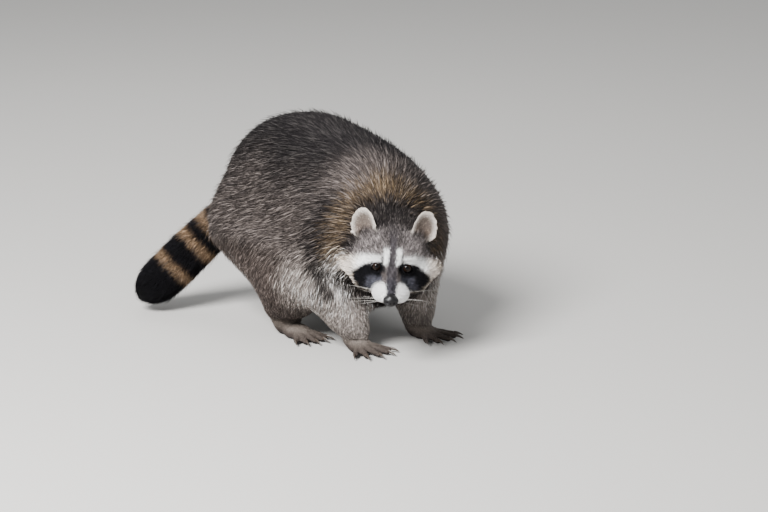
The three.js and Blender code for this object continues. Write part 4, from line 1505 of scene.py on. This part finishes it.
def add_tube(shell, rings):
    """Adds one closed tube through rings of points."""
    loops = [[shell.verts.new(point) for point in ring] for ring in rings]
    for first, second in zip(loops[:-1], loops[1:]):
        for index, corner in enumerate(first):
            after = (index + 1) % len(first)
            shell.faces.new((corner, first[after], second[after], second[index]))
    shell.faces.new(loops[0])
    shell.faces.new(loops[-1])


def ring_round(middle, out, over, count):
    """Points of an ellipse round a middle, from its two half axes."""
    turns = np.arange(count) * math.tau / count
    return [middle + out * math.cos(turn) + over * math.sin(turn) for turn in turns]


def finish_tubes(shell, name, material):
    """Makes a smooth piece of all the tubes in a shell."""
    bmesh.ops.recalc_face_normals(shell, faces=shell.faces[:])
    mesh = bpy.data.meshes.new(name)
    shell.to_mesh(mesh)
    shell.free()
    mesh.materials.append(material)
    piece = new_piece(name, mesh)
    shade_smooth(piece)
    return piece


def claw_spine(node):
    """The root and the tip of a claw's solid, in metres."""
    places = vertex_places(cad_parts[node].data)
    back = places[places[:, 1] > places[:, 1].max() - 1.5 * MM].mean(0)
    front = places[places[:, 1] < places[:, 1].min() + 0.8 * MM].mean(0)
    return back, front


def claw_material():
    """Dark horn with a grain of more and less gloss."""
    material, nodes, links, shader = new_material("claw")
    place = nodes.new("ShaderNodeTexCoord")
    grain = nodes.new("ShaderNodeTexNoise")
    set_inputs(grain, Scale=700.0)
    spread = nodes.new("ShaderNodeMapRange")
    set_inputs(spread, To_Min=0.28, To_Max=0.45)
    links.new(place.outputs["Object"], grain.inputs["Vector"])
    links.new(grain.outputs["Fac"], spread.inputs["Value"])
    links.new(spread.outputs["Result"], shader.inputs["Roughness"])
    set_inputs(shader, Base_Color=(*paint("claw"), 1))
    return material


# Rings along a claw and points round it, how deep its root is sunk in the toe, its bow, and its half width
# at the tip and what the root adds to that.
CLAW_RINGS, CLAW_AROUND = 9, 12
CLAW_SUNK = 4 * MM
CLAW_BOW = 0.9 * MM
CLAW_TIP, CLAW_SWELL = 0.25 * MM, 2.0 * MM


def add_claw(shell, node):
    """Adds one claw, narrow and deep and bowed upwards, along its solid."""
    back, front = claw_spine(node)
    heading = unit(front - back)
    across = unit(np.cross(heading, [0, 0, 1]))
    up = np.cross(across, heading)
    rings = []
    for share in np.arange(CLAW_RINGS) / (CLAW_RINGS - 1):
        middle = back - heading * CLAW_SUNK + (front - back + heading * CLAW_SUNK) * share
        middle = middle + up * CLAW_BOW * math.sin(math.pi * share)
        wide = CLAW_SWELL * (1 - share) ** 0.7 + CLAW_TIP
        rings.append(ring_round(middle, across * wide * 0.72, up * wide * 1.15, CLAW_AROUND))
    add_tube(shell, rings)


def make_claws():
    """Curved horn claws with blunt tips, one piece for each foot."""
    material = claw_material()
    for limb in ("fore", "hind"):
        for side in SIDES:
            claws = [f"{limb}claw_{side}_{toe}" for toe in range(1, 6)]
            shell = bmesh.new()
            for node in claws:
                add_claw(shell, node)
            piece = finish_tubes(shell, "claws", material)
            keep(piece, f"{limb}claws_{side}", "claw", *claws)


# Rings along a whisker and points round it, and its half thickness at the tip and what the root adds.
WHISKER_RINGS, WHISKER_AROUND = 10, 5
WHISKER_TIP, WHISKER_SWELL = 0.02 * MM, 0.09 * MM
# The first whisker's root in the head's frame, and the steps back and down to the others, in millimetres.
WHISKER_ROOT = (11, -36, -23)
WHISKER_BACK = (2.2, 6)
WHISKER_DOWN = 4.0
WHISKERS_PALE = 0.6


def add_whisker(shell, chance, side, row, place):
    """Adds one tapered whisker that sweeps out and back and sags, and says whether it is pale."""
    root_out, root_back, root_up = WHISKER_ROOT
    start = np.array([
        side * (root_out + WHISKER_BACK[0] * place), root_back + WHISKER_BACK[1] * place,
        root_up - WHISKER_DOWN * row,
    ])
    _, seats = nearest_faces(Flesh.tree, from_head(start[None]))
    length = chance.uniform(34, 52) * (0.75 + 0.12 * place)
    heading = unit(np.array([
        side * chance.uniform(0.85, 1.1), 0.25 + 0.12 * place,
        0.1 - 0.2 * row + chance.uniform(-0.08, 0.08),
    ]))
    sag = chance.uniform(0.1, 0.22) * length * np.array([0, 0.35, -0.65])
    is_pale = chance.random() < WHISKERS_PALE
    axis = unit(head_axes() @ heading)
    across = unit(np.cross(axis, [0, 0, 1]))
    over = np.cross(across, axis)
    rings = []
    for share in np.arange(WHISKER_RINGS) / (WHISKER_RINGS - 1):
        middle = seats[0] + ((heading * length * share + sag * share ** 2) * MM) @ head_axes().T
        thick = WHISKER_SWELL * (1 - share) ** 0.8 + WHISKER_TIP
        rings.append(ring_round(middle, across * thick, over * thick, WHISKER_AROUND))
    add_tube(shell, rings)
    return is_pale


def make_whiskers():
    """Thin whiskers in three rows of three on both sides of the muzzle."""
    chance = np.random.default_rng(71)
    shell = bmesh.new()
    tones = []
    for side in SIDES.values():
        for row in range(3):
            for place in range(3):
                is_pale = add_whisker(shell, chance, side, row, place)
                tone = paint("pale_whisker" if is_pale else "dark_whisker")
                tones += [tone] * (WHISKER_RINGS * WHISKER_AROUND)
    piece = finish_tubes(shell, "whiskers", coat_material("whisker", 0.4, 0.1))
    set_colours(piece.data, np.array(tones))
    keep(piece, "whiskers", "face_coat")


# ------------------------------------------------------------------ stage


# The direction of the view: turn round from the front and height, in degrees.
VIEW_AZIMUTH, VIEW_ELEVATION = -42, 14
# The camera's distance and film width, the frame's size in pixels, where the point between the eyes falls
# in it, and the width of one pixel at the head, in metres.
CAMERA_DISTANCE = 5.0
FILM_WIDTH = 36.0
FRAME_WIDTH, FRAME_HEIGHT = 768, 512
BROW_RIGHT, BROW_DOWN = 392, 268
PIXEL = 1.38 * MM
# The floor's radius and how far it lies under the feet, in metres.
FLOOR_RADIUS = 14
FLOOR_DROP = 0.4 * MM


def view_axes():
    """Towards the camera, to its right and up."""
    azimuth, elevation = math.radians(VIEW_AZIMUTH), math.radians(VIEW_ELEVATION)
    level = math.cos(elevation)
    back = Vector((math.sin(azimuth) * level, -math.cos(azimuth) * level, math.sin(elevation)))
    right = Vector((math.cos(azimuth), math.sin(azimuth), 0))
    return back, right, back.cross(right)


def make_floor():
    """A wide plain floor just under the feet."""
    bpy.ops.object.select_all(action="DESELECT")
    bpy.ops.mesh.primitive_circle_add(
        vertices=96, radius=FLOOR_RADIUS, fill_type="NGON", location=(0, 0, -FLOOR_DROP)
    )
    floor = bpy.context.object
    floor.name = "floor"
    material, _, _, shader = new_material("floor")
    set_inputs(shader, Base_Color=(*paint("floor"), 1), Roughness=0.85, Specular_IOR_Level=0.2)
    floor.data.materials.append(material)


def make_lights():
    """A large key, a soft fill, a faint rim and a plain sky. Only the key shows in the eyes."""
    world = bpy.data.worlds.new("studio")
    world.use_nodes = True
    set_inputs(world.node_tree.nodes["Background"], Color=(0.86, 0.88, 0.9, 1), Strength=0.85)
    bpy.context.scene.world = world

    back, right, _ = view_axes()
    middle = Vector((0, 0, 0.14))
    lamps = (
        ("key", back * 1.9 - right * 1.3 + Vector((0, 0, 1.5)), 1.4, 430),
        ("fill", back * 1.8 + right * 1.9 + Vector((0, 0, 1.2)), 3.4, 24),
        ("rim", back * -1.6 - right * 0.4 + Vector((0, 0, 1.9)), 1.2, 14),
    )
    for name, offset, size, power in lamps:
        bpy.ops.object.light_add(type="AREA", location=middle + offset)
        lamp = bpy.context.object
        lamp.name = name
        lamp.data.shape = "DISK"
        lamp.data.size = size
        lamp.data.energy = power
        lamp.rotation_euler = offset.to_track_quat("Z", "Y").to_euler()
        lamp.visible_glossy = name == "key"


def make_camera():
    """A camera with a long lens that looks at the head from the right and a little above."""
    back, right, up = view_axes()
    target = Vector(head_origin())
    target -= right * (BROW_RIGHT - FRAME_WIDTH / 2) * PIXEL
    target += up * (BROW_DOWN - FRAME_HEIGHT / 2) * PIXEL
    bpy.ops.object.camera_add(location=target + back * CAMERA_DISTANCE)
    camera = bpy.context.object
    camera.rotation_euler = back.to_track_quat("Z", "Y").to_euler()
    camera.data.sensor_width = FILM_WIDTH
    camera.data.lens = FILM_WIDTH * CAMERA_DISTANCE / (FRAME_WIDTH * PIXEL)
    camera.data.clip_end = 60.0
    bpy.context.scene.camera = camera


# ------------------------------------------------------------------ operators


class RACCOON_OT_skin(bpy.types.Operator):
    """Makes the one skin under the coat"""

    bl_idname = "raccoon.skin"
    bl_label = "Skin"

    def execute(self, context):
        make_skin()
        return {"FINISHED"}


class RACCOON_OT_body_coat(bpy.types.Operator):
    """Grows the coat of the trunk, the ruff and the legs"""

    bl_idname = "raccoon.body_coat"
    bl_label = "Body coat"

    def execute(self, context):
        coat = context.scene.raccoon_coat
        names = ("coat_shoulders", "coat_ribs", "coat_loin", "coat_rump")
        coat_part("trunk", names, "body_coat", coat.trunk_locks, 101)
        coat_part("neck", ("coat_ruff",), "body_coat", coat.neck_locks, 102)
        coat_part("leg", ("coat_legs",), "body_coat", coat.leg_locks, 103)
        return {"FINISHED"}


class RACCOON_OT_tail_coat(bpy.types.Operator):
    """Grows the ringed coat of the tail"""

    bl_idname = "raccoon.tail_coat"
    bl_label = "Tail coat"

    def execute(self, context):
        coat_part("tail", ("coat_tail",), "tail_coat", context.scene.raccoon_coat.tail_locks, 104)
        return {"FINISHED"}


class RACCOON_OT_head_coat(bpy.types.Operator):
    """Grows the coat of the head and the ears"""

    bl_idname = "raccoon.head_coat"
    bl_label = "Head coat"

    def execute(self, context):
        coat = context.scene.raccoon_coat
        coat_part("head", ("coat_face", "coat_crown"), "face_coat", coat.head_locks, 105)
        coat_part("ear", ("coat_ears",), "ear_coat", coat.ear_locks, 106)
        return {"FINISHED"}


class RACCOON_OT_foot_coat(bpy.types.Operator):
    """Grows the short coat of the feet"""

    bl_idname = "raccoon.foot_coat"
    bl_label = "Foot coat"

    def execute(self, context):
        coat_part("foot", ("coat_feet",), "foot_coat", context.scene.raccoon_coat.foot_locks, 107)
        return {"FINISHED"}


class RACCOON_OT_face(bpy.types.Operator):
    """Makes the eyes, the nose and the whiskers"""

    bl_idname = "raccoon.face"
    bl_label = "Eyes, nose and whiskers"

    def execute(self, context):
        make_eyes()
        make_nose()
        make_whiskers()
        return {"FINISHED"}


class RACCOON_OT_claws(bpy.types.Operator):
    """Makes the claws of all four feet"""

    bl_idname = "raccoon.claws"
    bl_label = "Claws"

    def execute(self, context):
        make_claws()
        return {"FINISHED"}


class RACCOON_OT_stage(bpy.types.Operator):
    """Sets the floor, the lights and the camera"""

    bl_idname = "raccoon.stage"
    bl_label = "Stage"

    def execute(self, context):
        make_floor()
        make_lights()
        make_camera()
        return {"FINISHED"}


class RACCOON_PT_panel(bpy.types.Panel):
    """Lists the steps and their settings"""

    bl_idname = "RACCOON_PT_panel"
    bl_label = "Raccoon"
    bl_space_type = "VIEW_3D"
    bl_region_type = "UI"
    bl_category = "Raccoon"

    def draw(self, context):
        for operator in OPERATORS:
            self.layout.operator(operator.bl_idname)
        for name, group in SETTINGS.items():
            box = self.layout.box()
            for setting in group.__annotations__:
                box.prop(getattr(context.scene, name), setting)


SETTINGS = {
    "raccoon_head": RaccoonHead,
    "raccoon_skin": RaccoonSkin,
    "raccoon_coat": RaccoonCoat,
    "raccoon_colours": RaccoonColours,
}
OPERATORS = (
    RACCOON_OT_stage, RACCOON_OT_skin, RACCOON_OT_face, RACCOON_OT_claws, RACCOON_OT_body_coat,
    RACCOON_OT_tail_coat, RACCOON_OT_head_coat, RACCOON_OT_foot_coat,
)
CLASSES = (*SETTINGS.values(), *OPERATORS, RACCOON_PT_panel)


def register():
    for kind in CLASSES:
        bpy.utils.register_class(kind)
    for name, group in SETTINGS.items():
        setattr(bpy.types.Scene, name, bpy.props.PointerProperty(type=group))


def unregister():
    for name in SETTINGS:
        delattr(bpy.types.Scene, name)
    for kind in reversed(CLASSES):
        bpy.utils.unregister_class(kind)


def main():
    register()
    bpy.ops.object.select_all(action="DESELECT")
    bpy.ops.raccoon.stage()
    bpy.ops.raccoon.skin()
    bpy.ops.raccoon.face()
    bpy.ops.raccoon.claws()
    bpy.ops.raccoon.body_coat()
    bpy.ops.raccoon.tail_coat()
    bpy.ops.raccoon.head_coat()
    bpy.ops.raccoon.foot_coat()


if __name__ == "__main__":
    main()
